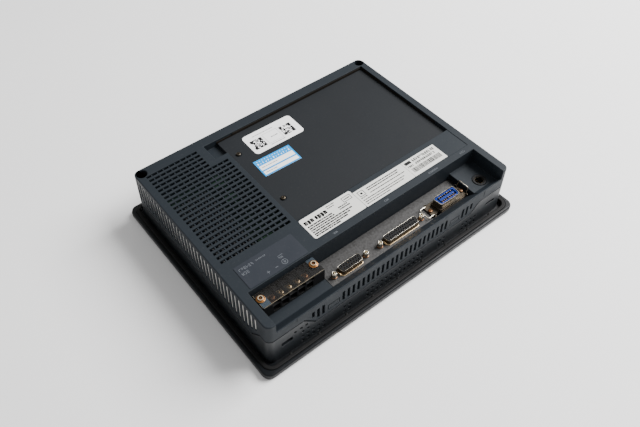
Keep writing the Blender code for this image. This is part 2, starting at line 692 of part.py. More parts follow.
def cut_well(cover):
    above, outside = BODY_TOP + PAST, BODY_FRONT - PAST
    well = [
        (WELL_BACK, above), (WELL_BACK, WELL_FLOOR), (RAMP_FOOT_Y, WELL_FLOOR),
        (RAMP_HEAD_Y, SILL_TOP), (outside, SILL_TOP), (outside, above),
    ]
    cut(cover, "well_cut", prism_mesh(well, WELL_LEFT, BLOCK_LEFT, "X"))
    shelf = [
        (WELL_BACK, above), (WELL_BACK, BLOCK_TOP), (BLOCK_FRONT, BLOCK_TOP),
        (RAMP_HEAD_Y, SILL_TOP), (outside, SILL_TOP), (outside, above),
    ]
    cut(cover, "shelf_cut", prism_mesh(shelf, BLOCK_LEFT - OVERLAP, WELL_RIGHT, "X"))
    plate_seat = block_mesh(
        PLATE_LEFT, PLATE_RIGHT, RAMP_FOOT_Y, WELL_BACK, PLATE_TOP - PLATE_THICKNESS - GAP, WELL_FLOOR + PAST
    )
    cut(cover, "plate_seat_cut", plate_seat)
    holes = bmesh.new()
    low, high = WELL_UNDERSIDE - PAST, PLATE_TOP
    half = FLANGE_HALF_DEPTH + WELL_CLEARANCE
    for x, half_back, _ in (AUX, SIO):
        reach = half_back + JACK_REACH + FLANGE_PAST_POST + WELL_CLEARANCE
        add_block(holes, x - reach, x + reach, SOCKET_Y - half, SOCKET_Y + half, low, high)
    add_block(
        holes, PRINTER_X - BRACKET_HALF_WIDTH, PRINTER_X + BRACKET_HALF_WIDTH,
        PRINTER_Y - BRACKET_HALF_DEPTH + 0.6, PRINTER_Y + BRACKET_HALF_DEPTH, low, high,
    )
    add_prism(
        holes, circle_outline(TOOL_X, TOOL_Y, TOOL_RADIUS + GAP, TOOL_STEPS), low, BLOCK_TOP + PAST
    )
    cut(cover, "socket_holes_cut", holes)


def cut_bay(cover):
    recess = block_mesh(BAY_LEFT, BAY_RIGHT, BAY_FRONT, BAY_BACK, BAY_LEDGE_TOP, BODY_TOP + PAST)
    cut(cover, "bay_cut", recess)
    below, above = BAY_LEDGE_TOP - WALL - PAST, BAY_LEDGE_TOP + 1
    opening = block_mesh(OPENING_LEFT, OPENING_RIGHT, OPENING_FRONT, OPENING_BACK, below, above)
    cut(cover, "bay_opening_cut", opening)
    finger = bmesh.new()
    rings = []
    for z, left in ((FINGER_FLOOR, FINGER_LEFT + FINGER_SLOPE), (BODY_TOP + 1, FINGER_LEFT)):
        right, front, back = BAY_LEFT + OVERLAP, FINGER_FRONT, BAY_BACK
        rings.append([(left, front, z), (right, front, z), (right, back, z), (left, back, z)])
    add_loft(finger, rings)
    cut(cover, "finger_recess_cut", finger)
    label_seat = block_mesh(
        BAY_LEFT, BAY_RIGHT - OVERLAP, LABEL_SEAT_FRONT, BAY_FRONT + OVERLAP,
        BODY_TOP - LABEL_SEAT_DEPTH, BODY_TOP + PAST,
    )
    cut(cover, "label_seat_cut", label_seat)
    screws = bmesh.new()
    for x, y in COVER_SCREWS:
        add_prism(screws, circle_outline(x, y, COVER_HOLE_RADIUS, SMALL_STEPS), below, above)
    cut(cover, "cover_screw_holes_cut", screws)


def vents_mesh():
    """Every vent of the rear cover, and its screw holes."""
    mesh = bmesh.new()
    for row in range(VENT_ROWS):
        y = VENT_FIRST_Y - row * VENT_PITCH
        right = VENT_SHORT_RIGHT if row < SHORT_ROWS else VENT_RIGHT
        front, back = y - VENT_HEIGHT / 2, y + VENT_HEIGHT / 2
        add_block(mesh, VENT_LEFT, right, front, back, BODY_TOP - WALL - PAST, BODY_TOP + PAST)
    half = FRONT_SLOT_WIDTH / 2
    for x in slot_centres():
        low = FRONT_SLOT_Z[0] + (FRONT_SLOT_SHORTER_BY if abs(x) > FRONT_SLOT_SHORT_X else 0.0)
        add_block(
            mesh, x - half, x + half, BODY_FRONT - PAST, BODY_FRONT + SLOT_DEPTH, low, FRONT_SLOT_Z[1]
        )
    for left, right in LATCH_WINDOWS:
        add_block(mesh, left, right, BODY_FRONT - PAST, BODY_FRONT + LATCH_DEPTH, *LATCH_Z)
    half = SIDE_SLOT_WIDTH / 2
    for i in range(SIDE_SLOTS):
        y = SIDE_SLOT_FIRST_Y - i * SIDE_SLOT_PITCH
        low = SIDE_SLOT_Z[0] + max(0.0, (SIDE_SLOT_RISE_Y - y) * SIDE_SLOT_RISE)
        add_block(mesh, BODY_LEFT - PAST, BODY_LEFT + PAST, y - half, y + half, low, SIDE_SLOT_Z[1])
    for x, y in CORNER_SCREWS:
        hole = circle_outline(x, y, DRIVER_HOLE_RADIUS, 2 * SMALL_STEPS)
        add_prism(mesh, hole, DRIVER_HOLE_BOTTOM, BODY_TOP + PAST)
    return mesh


def cut_door_opening(cover):
    opening = block_mesh(
        BODY_RIGHT - WALL - PAST, BODY_RIGHT + PAST, DOOR_FRONT, DOOR_BACK, DOOR_BOTTOM, DOOR_TOP
    )
    cut(cover, "door_opening_cut", opening)
    bore = circle_outline(DOOR_PIN_X, DOOR_PIN_Y, DOOR_PIN_RADIUS + GAP, SMALL_STEPS)
    reach = DOOR_PIN_REACH + DOOR_CLEARANCE
    cut(cover, "door_pin_holes_cut", prism_mesh(bore, DOOR_BOTTOM - reach, DOOR_TOP + reach))
    shanks = bmesh.new()
    for x, y in CORNER_SCREWS:
        hole = circle_outline(x, y, SHANK_HOLE_RADIUS)
        add_prism(shanks, hole, PARTING - PAST, DRIVER_HOLE_BOTTOM + 1)
    cut(cover, "corner_shank_holes_cut", shanks)


def make_casing(paints):
    make_front_case(paints["housing"])
    make_rear_cover(paints["housing"])
    outline = rounded_outline(COVER_LEFT, COVER_RIGHT, COVER_FRONT, COVER_BACK, COVER_CORNER, 3)
    plate = make_object(
        "expansion_cover", prism_mesh(outline, COVER_TOP - COVER_THICKNESS, COVER_TOP), paints["cover"]
    )
    holes = bmesh.new()
    for x, y in COVER_SCREWS:
        hole = circle_outline(x, y, COVER_HOLE_RADIUS, SMALL_STEPS)
        add_prism(holes, hole, COVER_TOP - COVER_THICKNESS - PAST, COVER_TOP + PAST)
    cut(plate, "plate_screw_holes_cut", holes)
    for i, place in enumerate(COVER_SCREWS, 1):
        screw_object(f"expansion_screw_{i}", paints["brass"], place, COVER_TOP + GAP, EXPANSION_SCREW)
    for i, place in enumerate(CORNER_SCREWS, 1):
        screw_object(f"corner_screw_{i}", paints["zinc"], place, DRIVER_HOLE_BOTTOM + GAP, CORNER_SCREW)
    make_door(paints["housing"])


def make_door(paint):
    """The card door hangs on two pins at its far end and swings out of the right wall."""
    half = DOOR_THICKNESS / 2
    mesh = block_mesh(
        DOOR_PIN_X - half, DOOR_PIN_X + half, DOOR_FRONT + DOOR_CLEARANCE, DOOR_PIN_Y + DOOR_HEEL,
        DOOR_BOTTOM + DOOR_CLEARANCE, DOOR_TOP - DOOR_CLEARANCE,
    )
    door = make_object("cf_door", mesh, paint, (DOOR_PIN_X, DOOR_PIN_Y, (DOOR_BOTTOM + DOOR_TOP) / 2))
    pin = circle_outline(DOOR_PIN_X, DOOR_PIN_Y, DOOR_PIN_RADIUS, SMALL_STEPS)
    join(door, "door_pins", prism_mesh(pin, DOOR_BOTTOM - DOOR_PIN_REACH, DOOR_TOP + DOOR_PIN_REACH))


# Connector well

def make_io_plate(paint):
    mesh = block_mesh(
        PLATE_LEFT + GAP, PLATE_RIGHT - GAP, RAMP_FOOT_Y + GAP, WELL_BACK - GAP,
        PLATE_TOP - PLATE_THICKNESS, PLATE_TOP,
    )
    plate = make_object("io_plate", mesh, paint)
    holes = bmesh.new()
    low, high = PLATE_TOP - PLATE_THICKNESS - PAST, PLATE_TOP + PAST
    half_height = SOCKET_HALF_HEIGHT + GAP
    for x, half_back, half_front in (AUX, SIO):
        outline = d_outline(x, SOCKET_Y, half_back + GAP, half_front + GAP, half_height, SOCKET_CORNER)
        add_prism(holes, outline, low, high)
        for side in (-1, 1):
            place = x + side * (half_back + JACK_REACH)
            add_prism(holes, circle_outline(place, SOCKET_Y, JACK_HOLE_RADIUS, SMALL_STEPS), low, high)
    half_width, half_depth = PRINTER_PLATE_HOLE
    add_block(
        holes, PRINTER_X - half_width, PRINTER_X + half_width, PRINTER_Y - half_depth,
        PRINTER_Y + half_depth, low, high,
    )
    for x, y in bracket_screw_places():
        add_prism(holes, circle_outline(x, y, JACK_HOLE_RADIUS, SMALL_STEPS), low, high)
    cut(plate, "plate_holes_cut", holes)


def bracket_screw_places():
    return [(PRINTER_X + side * BRACKET_SCREW_X, PRINTER_Y) for side in (-1, 1)]


def make_socket(name, paints, x, half_back, half_front):
    """A D-shaped socket: a flanged metal shell below the plate, and the black insert inside it."""
    reach = half_back + JACK_REACH + FLANGE_PAST_POST
    front, back = SOCKET_Y - FLANGE_HALF_DEPTH, SOCKET_Y + FLANGE_HALF_DEPTH
    mesh = block_mesh(x - reach, x + reach, front, back, *FLANGE_Z)
    shell = make_object(f"{name}_shell", mesh, paints["zinc"])

    def outline(inset):
        return d_outline(
            x, SOCKET_Y, half_back - inset, half_front - inset, SOCKET_HALF_HEIGHT - inset,
            SOCKET_CORNER - inset,
        )

    join(shell, f"{name}_tube", prism_mesh(outline(0.0), FLANGE_Z[0] + OVERLAP, SHELL_TOP))
    cut(shell, f"{name}_tube_cut", prism_mesh(outline(SHEET), FLANGE_Z[0] - PAST, SHELL_TOP + PAST))
    holes = bmesh.new()
    for side in (-1, 1):
        place = x + side * (half_back + JACK_REACH)
        hole = circle_outline(place, SOCKET_Y, JACK_HOLE_RADIUS, SMALL_STEPS)
        add_prism(holes, hole, FLANGE_Z[0] - PAST, FLANGE_Z[1] + PAST)
    cut(shell, f"{name}_flange_holes_cut", holes)
    insert = prism_mesh(outline(INSERT_INSET), INSERT_BOTTOM, SHELL_TOP - INSERT_DROP)
    make_object(f"{name}_insert", insert, paints["black"])


def make_jack_posts(paint):
    places = [x + side * (half_back + JACK_REACH) for x, half_back, _ in (AUX, SIO) for side in (-1, 1)]
    seat = PLATE_TOP + GAP
    levels = (
        (JACK_SHANK_BOTTOM, JACK_SHANK_RADIUS),
        (seat, JACK_SHANK_RADIUS),
        (seat, JACK_HEX_RADIUS),
        (SHELL_TOP, JACK_HEX_RADIUS),
    )
    for i, x in enumerate(places, 1):
        mesh = bmesh.new()
        add_turned(mesh, (x, SOCKET_Y), levels, 6)
        post = make_object(f"jack_post_{i}", mesh, paint)
        bore = circle_outline(x, SOCKET_Y, JACK_BORE_RADIUS, SMALL_STEPS)
        cut(post, f"jack_post_bore_{i}", prism_mesh(bore, SHELL_TOP - JACK_BORE_DEPTH, SHELL_TOP + PAST))


def make_printer_socket(paints):
    """A 14-way ribbon-type socket: a metal bracket with ears for the bails, and a blue insert."""
    x, y = PRINTER_X, PRINTER_Y
    low = PLATE_TOP + GAP
    high = low + BRACKET_THICKNESS
    base = block_mesh(
        x - BRACKET_HALF_WIDTH, x + BRACKET_HALF_WIDTH, y - BRACKET_HALF_DEPTH, y + BRACKET_HALF_DEPTH,
        low, high,
    )
    bracket = make_object("printer_bracket", base, paints["zinc"])
    skirt = d_outline(x, y - OVERLAP, *PRINTER_SKIRT, 2.5)
    join(bracket, "printer_skirt", prism_mesh(skirt, high - 0.3, PRINTER_SKIRT_TOP))
    tube = d_outline(x, y, *PRINTER_TUBE, 2.5)
    join(bracket, "printer_tube", prism_mesh(tube, high - 0.7, PRINTER_TOP))
    join(bracket, "bail_ears", bail_ears_mesh(high - 0.3))
    bore = d_outline(x, y, *PRINTER_TUBE_BORE, 1.9)
    cut(bracket, "printer_tube_cut", prism_mesh(bore, PLATE_TOP - PAST, PRINTER_TOP + PAST))
    pins = bmesh.new()
    for side in (-1, 1):
        hole = circle_outline(x + side * BAIL_REACH, BAIL_Z, BAIL_WIRE + GAP, SMALL_STEPS)
        add_prism(pins, hole, y - BRACKET_HALF_DEPTH - PAST, y + BRACKET_HALF_DEPTH + PAST, "Y")
    cut(bracket, "bail_pin_holes_cut", pins)
    screws = bmesh.new()
    for place in bracket_screw_places():
        hole = circle_outline(*place, JACK_HOLE_RADIUS, SMALL_STEPS)
        add_prism(screws, hole, low - 1, high + 0.5)
    cut(bracket, "bracket_screw_holes_cut", screws)
    core = d_outline(x, y, *PRINTER_CORE, 1.6)
    insert = make_object(
        "printer_insert", prism_mesh(core, INSERT_BOTTOM, PRINTER_TOP - 0.4), paints["blue"]
    )
    groove = bmesh.new()
    add_ring(
        groove, box_outline(x, y, *CONTACT_GROOVE, 1.0), box_outline(x, y, *CONTACT_TONGUE, 0.5),
        PRINTER_TOP - GROOVE_DEPTH, PRINTER_TOP + 1,
    )
    cut(insert, "insert_groove_cut", groove)
    for i, place in enumerate(bracket_screw_places(), 1):
        screw_object(f"printer_screw_{i}", paints["brass"], place, high + 0.2, PRINTER_SCREW)


def box_outline(x, y, half_width, half_depth, radius):
    return rounded_outline(x - half_width, x + half_width, y - half_depth, y + half_depth, radius, 2)


def bail_ears_mesh(low):
    """Four small upright ears, one outside each end of each bail."""
    ears = bmesh.new()
    near = BAIL_HALF_WIDTH + BAIL_WIRE + GAP
    for side in (-1, 1):
        pin_x = PRINTER_X + side * BAIL_REACH
        for end in (-1, 1):
            front, back = sorted((PRINTER_Y + end * near, PRINTER_Y + end * (near + EAR_THICKNESS)))
            add_block(
                ears, pin_x - EAR_HALF_WIDTH, pin_x + EAR_HALF_WIDTH, front, back, low, BAIL_Z + EAR_ABOVE_PIN
            )
    return ears


def make_bail(name, paint, side, lift):
    """A wire loop on two pins. At no lift it lies flat, away from the socket."""
    pin_x = PRINTER_X + side * BAIL_REACH
    half, leg, pin = BAIL_HALF_WIDTH, BAIL_LEG, BAIL_PIN
    path = [(0, half + pin), (0, half), (leg, half), (leg, -half), (0, -half), (0, -half - pin)]
    angle = math.radians(lift)
    origin = Vector((pin_x, PRINTER_Y, BAIL_Z))
    turned = [Vector((side * out * math.cos(angle), y, out * math.sin(angle))) for out, y in path]
    mesh = bmesh.new()
    add_wire(mesh, [point + origin for point in turned], BAIL_WIRE)
    make_object(name, mesh, paint, origin)


def make_tool_socket(paint):
    body = circle_outline(TOOL_X, TOOL_Y, TOOL_RADIUS, TOOL_STEPS)
    top = BLOCK_TOP + TOOL_PROUD
    socket = make_object("tool_socket", prism_mesh(body, TOOL_BOTTOM, top), paint)
    bore = circle_outline(TOOL_X, TOOL_Y, TOOL_BORE_RADIUS, 2 * SMALL_STEPS)
    cut(socket, "tool_bore", prism_mesh(bore, top - TOOL_BORE_DEPTH, top + PAST))


def make_terminals(paints):
    """A terminal block with raised ends and barriers, its screws, and the clear cover over it."""
    left, right, front, back = TERMINAL_LEFT, TERMINAL_RIGHT, TERMINAL_FRONT, TERMINAL_BACK
    body = (left, right, front, back, TERMINAL_BOTTOM, TERMINAL_FLOOR)
    block = block_object("terminal_block", paints["black"], *body)
    low = TERMINAL_FLOOR - 1
    ribs = bmesh.new()
    add_block(ribs, left, left + TERMINAL_END_LEFT, front, back, low, TERMINAL_TOP)
    add_block(ribs, right - TERMINAL_END_RIGHT, right, front, back, low, TERMINAL_TOP)
    for i in range(TERMINAL_BARRIERS):
        middle = BLOCK_SCREW_X[0] + (i + 0.5) * TERMINAL_PITCH
        add_block(ribs, middle - BARRIER_HALF, middle + BARRIER_HALF, front, back, low, TERMINAL_TOP)
    join(block, "terminal_ribs", ribs)
    holes = bmesh.new()
    for x in TERMINAL_X + BLOCK_SCREW_X:
        hole = circle_outline(x, TERMINAL_SCREW_Y, TERMINAL_HOLE_RADIUS, SMALL_STEPS)
        add_prism(holes, hole, TERMINAL_HOLE_BOTTOM, TERMINAL_FLOOR + 1)
    for place in TERMINAL_COVER_SCREWS:
        hole = circle_outline(*place, COVER_SCREW_HOLE_RADIUS, SMALL_STEPS)
        add_prism(holes, hole, TERMINAL_HOLE_BOTTOM + 2, TERMINAL_TOP + PAST)
    cut(block, "terminal_holes_cut", holes)
    seat = TERMINAL_FLOOR + GAP
    for i, x in enumerate(TERMINAL_X, 1):
        screw_object(f"terminal_screw_{i}", paints["brass"], (x, TERMINAL_SCREW_Y), seat, TERMINAL_SCREW)
    for i, x in enumerate(BLOCK_SCREW_X, 1):
        screw_object(f"block_screw_{i}", paints["zinc"], (x, TERMINAL_SCREW_Y), seat, BLOCK_SCREW)
    low = TERMINAL_TOP + GAP
    high = low + TERMINAL_COVER_THICKNESS
    sheet = (left, right - 0.5, front + GAP, back, low, high)
    clear = block_object("terminal_cover", paints["clear"], *sheet)
    ports = bmesh.new()
    for place in TERMINAL_COVER_SCREWS:
        hole = circle_outline(*place, COVER_SCREW_HOLE_RADIUS, SMALL_STEPS)
        add_prism(ports, hole, low - PAST, high + PAST)
    cut(clear, "terminal_cover_holes_cut", ports)
    for i, place in enumerate(TERMINAL_COVER_SCREWS, 1):
        make_cover_screw(f"cover_screw_{i}", paints["brass"], place, high + GAP)


def make_cover_screw(name, paint, place, seat):
    """A brass screw with a wide washer face under a smaller head."""
    levels = (
        (TERMINAL_HOLE_BOTTOM + 4, 1.6), (seat, 1.6), (seat, 4.2), (seat + 0.6, 4.2), (seat + 0.6, 2.8),
        (seat + 2.0, 2.6),
    )
    mesh = bmesh.new()
    add_turned(mesh, place, levels)
    make_object(name, mesh, paint)


# Inside

def make_boards(paints):
    """The chassis plate, the boards on its posts, and what stands on the boards."""
    low, high = CHASSIS_Z
    bottom, top = BOARD_Z
    chassis = block_object("chassis_plate", paints["aluminium"], *CHASSIS_AREA, low, high)
    posts = bmesh.new()
    for x, y in POSTS:
        add_prism(posts, circle_outline(x, y, POST_RADIUS, SMALL_STEPS), high - OVERLAP, bottom - GAP)
    join(chassis, "chassis_posts", posts)
    main = block_object("main_board", paints["board"], *MAIN_BOARD_AREA, bottom, top)
    chips = bmesh.new()
    for left, front, size, height in CHIPS:
        add_block(chips, left, left + size, front, front + size, top - OVERLAP, top + height)
    join(main, "main_chips", chips)
    power = block_object("power_board", paints["board"], *POWER_BOARD_AREA, bottom, top)
    parts = bmesh.new()
    add_block(parts, *TRANSFORMER_AREA, top - OVERLAP, top + TRANSFORMER_HEIGHT)
    for x, y, radius, height in CAPACITORS:
        add_prism(parts, circle_outline(x, y, radius), top - OVERLAP, top + height)
    join(power, "power_parts", parts)
    block_object("io_board", paints["board"], *IO_BOARD)
    make_heat_sink(paints["aluminium"])
    cell = circle_outline(*BATTERY_PLACE, BATTERY_RADIUS, 2 * SMALL_STEPS)
    make_object("battery", prism_mesh(cell, top + GAP, top + BATTERY_HEIGHT), paints["steel"])
    bay_socket = block_object("expansion_connector", paints["black"], *BAY_SOCKET)
    cut(bay_socket, "expansion_slot", block_mesh(*BAY_SOCKET_SLOT))
    make_card_socket(paints)


def make_heat_sink(paint):
    """Upright fins on a base, as one outline pushed along Y."""
    base = BOARD_Z[1] + GAP
    foot = base + SINK_BASE
    right = SINK_LEFT + FINS * FIN + (FINS - 1) * FIN_SPACE
    outline = [(SINK_LEFT, base), (right, base)]
    for i in reversed(range(FINS)):
        start = SINK_LEFT + i * (FIN + FIN_SPACE)
        outline += [(start + FIN, SINK_TOP), (start, SINK_TOP)]
        if i:
            outline += [(start, foot), (start - FIN_SPACE, foot)]
    make_object("heat_sink", prism_mesh(outline, *SINK_Y, "Y"), paint)


def make_card_socket(paints):
    """The memory card socket behind the door, its push button and the setting switches."""
    left, right, front, back = CARD_SOCKET
    base, top = BOARD_Z[1] + GAP, CARD_MIDDLE + CARD_HALF_HEIGHT + 1.9
    socket = block_object("cf_socket", paints["black"], left, right, front, back, base, top)
    slots = block_mesh(
        left + CARD_WALL, right + PAST, *CARD_Y,
        CARD_MIDDLE - CARD_HALF_HEIGHT, CARD_MIDDLE + CARD_HALF_HEIGHT,
    )
    half = EJECT_WIDTH / 2
    button_left = right + BUTTON_PROUD - BUTTON_LENGTH
    add_block(
        slots, button_left - 7.5, right + PAST, EJECT_Y - half - GAP, EJECT_Y + half + GAP,
        CARD_MIDDLE - half - GAP, CARD_MIDDLE + half + GAP,
    )
    cut(socket, "card_slots_cut", slots)
    face = right + BUTTON_PROUD
    button = block_mesh(
        button_left, face, EJECT_Y - half, EJECT_Y + half, CARD_MIDDLE - half, CARD_MIDDLE + half
    )
    make_object("cf_eject_button", button, paints["black"], (face, EJECT_Y, CARD_MIDDLE))
    make_switches(paints, right, base)


def make_switches(paints, face, base):
    """A block of setting switches beside the card socket; their levers slide up and down in slots."""
    width = 2 * LEVER_FIRST_INSET + (LEVERS - 1) * LEVER_PITCH
    front = SWITCH_BACK - width
    switch = block_object(
        "dip_switch", paints["blue"], face - SWITCH_DEPTH, face, front, SWITCH_BACK, base, CARD_MIDDLE + 5
    )
    half = LEVER_WIDTH / 2
    low, high = CARD_MIDDLE - half - GAP, CARD_MIDDLE + half + LEVER_TRAVEL + GAP
    places = [front + LEVER_FIRST_INSET + i * LEVER_PITCH for i in range(LEVERS)]
    slots = bmesh.new()
    for y in places:
        add_block(slots, face - LEVER_SLOT_DEPTH, face + 1, y - half - GAP, y + half + GAP, low, high)
    cut(switch, "lever_slots_cut", slots)
    for i, y in enumerate(places, 1):
        lever = block_mesh(
            face - LEVER_SLOT_DEPTH + GAP, face + LEVER_PROUD, y - half, y + half, CARD_MIDDLE - half,
            CARD_MIDDLE + half,
        )
        make_object(f"dip_lever_{i}", lever, paints["white"], (face, y, CARD_MIDDLE))


# Labels

def make_labels(paints):
    for name, paint, area, surface, radius, turn in LABELS:
        low = surface + LABEL_GAP
        mesh = prism_mesh(rounded_outline(*area, radius, 3), low, low + LABEL_THICKNESS)
        left, right, front, back = area
        middle = Vector(((left + right) / 2, (front + back) / 2, 0)) * MM
        spin = Matrix.Rotation(math.radians(turn), 3, "Z")
        bmesh.ops.rotate(mesh, verts=mesh.verts, cent=middle, matrix=spin)
        make_object(name, mesh, paints[paint])


def main():
    clear_scene()
    paints = make_materials()
    make_bezel(paints["housing"])
    make_screen(paints)
    make_casing(paints)
    make_io_plate(paints["steel"])
    make_socket("aux", paints, *AUX)
    make_socket("sio", paints, *SIO)
    make_jack_posts(paints["zinc"])
    make_printer_socket(paints)
    make_bail("printer_bail_left", paints["steel"], -1, 0.0)
    make_bail("printer_bail_right", paints["steel"], 1, 90.0 - BAIL_LEAN)
    make_tool_socket(paints["black"])
    make_terminals(paints)
    make_boards(paints)
    make_labels(paints)


main()
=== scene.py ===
import math
import random

import bmesh
import bpy
from mathutils import Matrix, Vector


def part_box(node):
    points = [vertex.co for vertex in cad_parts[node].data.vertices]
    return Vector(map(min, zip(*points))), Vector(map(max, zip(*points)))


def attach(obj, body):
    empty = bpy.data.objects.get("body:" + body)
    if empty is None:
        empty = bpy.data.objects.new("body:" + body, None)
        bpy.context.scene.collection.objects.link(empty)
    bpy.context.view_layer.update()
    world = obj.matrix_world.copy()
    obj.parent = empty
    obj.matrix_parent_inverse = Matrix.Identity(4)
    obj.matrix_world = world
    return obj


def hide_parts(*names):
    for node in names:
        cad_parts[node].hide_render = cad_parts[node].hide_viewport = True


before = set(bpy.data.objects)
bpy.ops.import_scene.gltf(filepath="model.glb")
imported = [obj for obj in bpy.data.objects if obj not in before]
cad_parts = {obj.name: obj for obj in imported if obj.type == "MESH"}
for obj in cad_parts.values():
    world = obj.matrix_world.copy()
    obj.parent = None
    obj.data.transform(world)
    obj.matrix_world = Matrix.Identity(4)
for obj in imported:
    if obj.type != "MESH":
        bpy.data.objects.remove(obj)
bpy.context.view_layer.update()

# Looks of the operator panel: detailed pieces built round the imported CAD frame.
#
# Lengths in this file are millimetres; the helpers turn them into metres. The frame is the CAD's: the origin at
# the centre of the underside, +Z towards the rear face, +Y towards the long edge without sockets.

MM = 0.001


def span(node):
    """A CAD node's box as left, right, front, back, bottom, top."""
    low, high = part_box(node)
    return tuple(value / MM for value in (low.x, high.x, low.y, high.y, low.z, high.z))


def middle(node):
    left, right, front, back, _, _ = span(node)
    return (left + right) / 2, (front + back) / 2


# ---------------------------------------------------------------- sizes

BODY_LEFT, BODY_RIGHT = -147.4, 148.2
BODY_FRONT, BODY_BACK = -109.5, 114.6
BODY_CORNER = 6.2
BODY_BOTTOM = span("front_case")[4]
BODY_TOP = span("rear_cover")[5]
BODY_EDGE = 1.2
DRAFT = 0.6
WALL = 2.5
PARTING = 22.0
SEAM = 0.9
# side, foot and head of the slope, its top, and whether the slope is curved
TOWERS = ((-1, 97.0, 110.0, 35.5, False), (1, 98.0, 113.0, 33.5, True))
TOWER_FOOT_Y, TOWER_HEAD_Y = -85.0, -98.0

WELL_LEFT, WELL_RIGHT, WELL_BACK = -138.3, 139.5, -69.7
WELL_FLOOR, WELL_UNDERSIDE = 36.0, 31.5
RAMP_FOOT_Y, RAMP_HEAD_Y = -98.3, -108.5
SILL_TOP = 47.0
BLOCK_LEFT, BLOCK_TOP, BLOCK_FRONT = 108.5, 42.3, -103.0
PLATE = span("io_plate")
PLATE_TOP = PLATE[5]

VENT_ROWS, SHORT_ROWS = 24, 5
VENT_FIRST_Y, VENT_PITCH, VENT_HEIGHT = 100.3, 5.645, 3.0
VENT_LEFT, VENT_RIGHT, VENT_SHORT_RIGHT = -139.3, -63.0, -82.1
VENT_COLUMNS, VENT_SHORT_COLUMNS, VENT_BAR = 12, 9, 1.5
SLOT_PITCH = 5.86
FRONT_SLOTS = [-0.5 + (i - 11) * SLOT_PITCH for i in range(23)] + [-99.3, -93.7, -88.0, 87.2, 93.0, 98.8]
SIDE_SLOT_COUNT, SIDE_SLOT_PITCH, SIDE_SLOT_FIRST_Y = 34, 6.0, 106.0
SIDE_SLOT_HALF, SIDE_SLOT_TOP = 1.2, 54.0
# the first hole's middle and the number of holes
HOLE_GROUPS = ((-111.0, 5), (-63.0, 2), (-35.2, 13), (59.0, 2), (91.5, 4))

BAY = (-58.0, 140.0, -33.0, 102.5)
BAY_LEDGE_TOP = 53.0
BAY_OPENING = (-43.0, 134.0, -27.0, 96.0)
LID = span("expansion_cover")
FINGER_LEFT, FINGER_FRONT, FINGER_FLOOR = -73.2, 80.3, 50.7
CORNER_SCREWS = ((-140.2, 107.8), (142.3, 108.7))
COVER_SCREWS = ((-48.9, 74.5), (-48.9, -0.6))
DOOR_OPENING = (14.0, 69.4, 25.0, 44.0)

BEZEL = span("front_bezel")
RIM_LEFT, RIM_RIGHT, RIM_FRONT, RIM_BACK = -150.4, 150.4, -114.0, 116.0
GASKET = span("gasket")
PIP_PITCH = 32.0
WINDOW_HALF_WIDTH, WINDOW_HALF_HEIGHT = 107.5, 81.5

# a socket's name, half its width at the back and at the front, and the contacts in its longer row
SOCKETS = (("aux", 13.25, 11.7, 8), ("sio", 21.0, 19.5, 13))
SOCKET_SCREW_OUT, PRINTER_SCREW_OUT = 5.75, 21.5
CONTACT_PITCH, CONTACT_ROW = 2.76, 1.42
BAIL_PIN_OUT, BAIL_PIN_Z, BAIL_RIGHT_LIFT = 22.0, 38.2, 80.0
TERMINAL_FIRST_X, TERMINAL_PITCH = -121.3, 9.0
SCREW_HEADS = {"corner": 2.6, "small": 1.3, "terminal": 2.2, "block": 2.2}
PRINT = 0.03
WELD = 0.01 * MM


# ---------------------------------------------------------------- materials

class Paint:
    """A Principled material whose colour, roughness and relief come from procedural nodes."""

    def __init__(self, name, roughness, metallic=0.0):
        self.material = bpy.data.materials.new(name)
        self.material.use_nodes = True
        self.tree = self.material.node_tree
        self.shader = self.tree.nodes["Principled BSDF"]
        self.shader.inputs["Roughness"].default_value = roughness
        self.shader.inputs["Metallic"].default_value = metallic
        self.place = self.tree.nodes.new("ShaderNodeTexCoord").outputs["Object"]

    def link(self, output, target):
        self.tree.links.new(output, target)

    def noise(self, scale, detail=3.0, stretch=(1.0, 1.0, 1.0), rough=0.5):
        mapping = self.tree.nodes.new("ShaderNodeMapping")
        mapping.inputs["Scale"].default_value = stretch
        self.link(self.place, mapping.inputs["Vector"])
        node = self.tree.nodes.new("ShaderNodeTexNoise")
        node.inputs["Scale"].default_value = scale
        node.inputs["Detail"].default_value = detail
        node.inputs["Roughness"].default_value = rough
        self.link(mapping.outputs["Vector"], node.inputs["Vector"])
        return node.outputs["Fac"]

    def scaled(self, value, low, high, to_low, to_high):
        node = self.tree.nodes.new("ShaderNodeMapRange")
        for name, number in (("From Min", low), ("From Max", high), ("To Min", to_low), ("To Max", to_high)):
            node.inputs[name].default_value = number
        self.link(value, node.inputs["Value"])
        return node.outputs["Result"]

    def mix(self, factor, first, second):
        node = self.tree.nodes.new("ShaderNodeMix")
        node.data_type = "RGBA"
        self.link(factor, node.inputs["Factor"])
        for socket, colour in ((node.inputs[6], first), (node.inputs[7], second)):
            if isinstance(colour, tuple):
                socket.default_value = (*colour, 1.0)
            else:
                self.link(colour, socket)
        return node.outputs[2]

    def colour(self, output):
        self.link(output, self.shader.inputs["Base Color"])

    def roughness(self, output):
        self.link(output, self.shader.inputs["Roughness"])

    def bump(self, height, depth):
        node = self.tree.nodes.new("ShaderNodeBump")
        node.inputs["Strength"].default_value = 1.0
        node.inputs["Distance"].default_value = depth * MM
        self.link(height, node.inputs["Height"])
        self.link(node.outputs["Normal"], self.shader.inputs["Normal"])


def tint(colour, factor):
    return tuple(channel * factor for channel in colour)


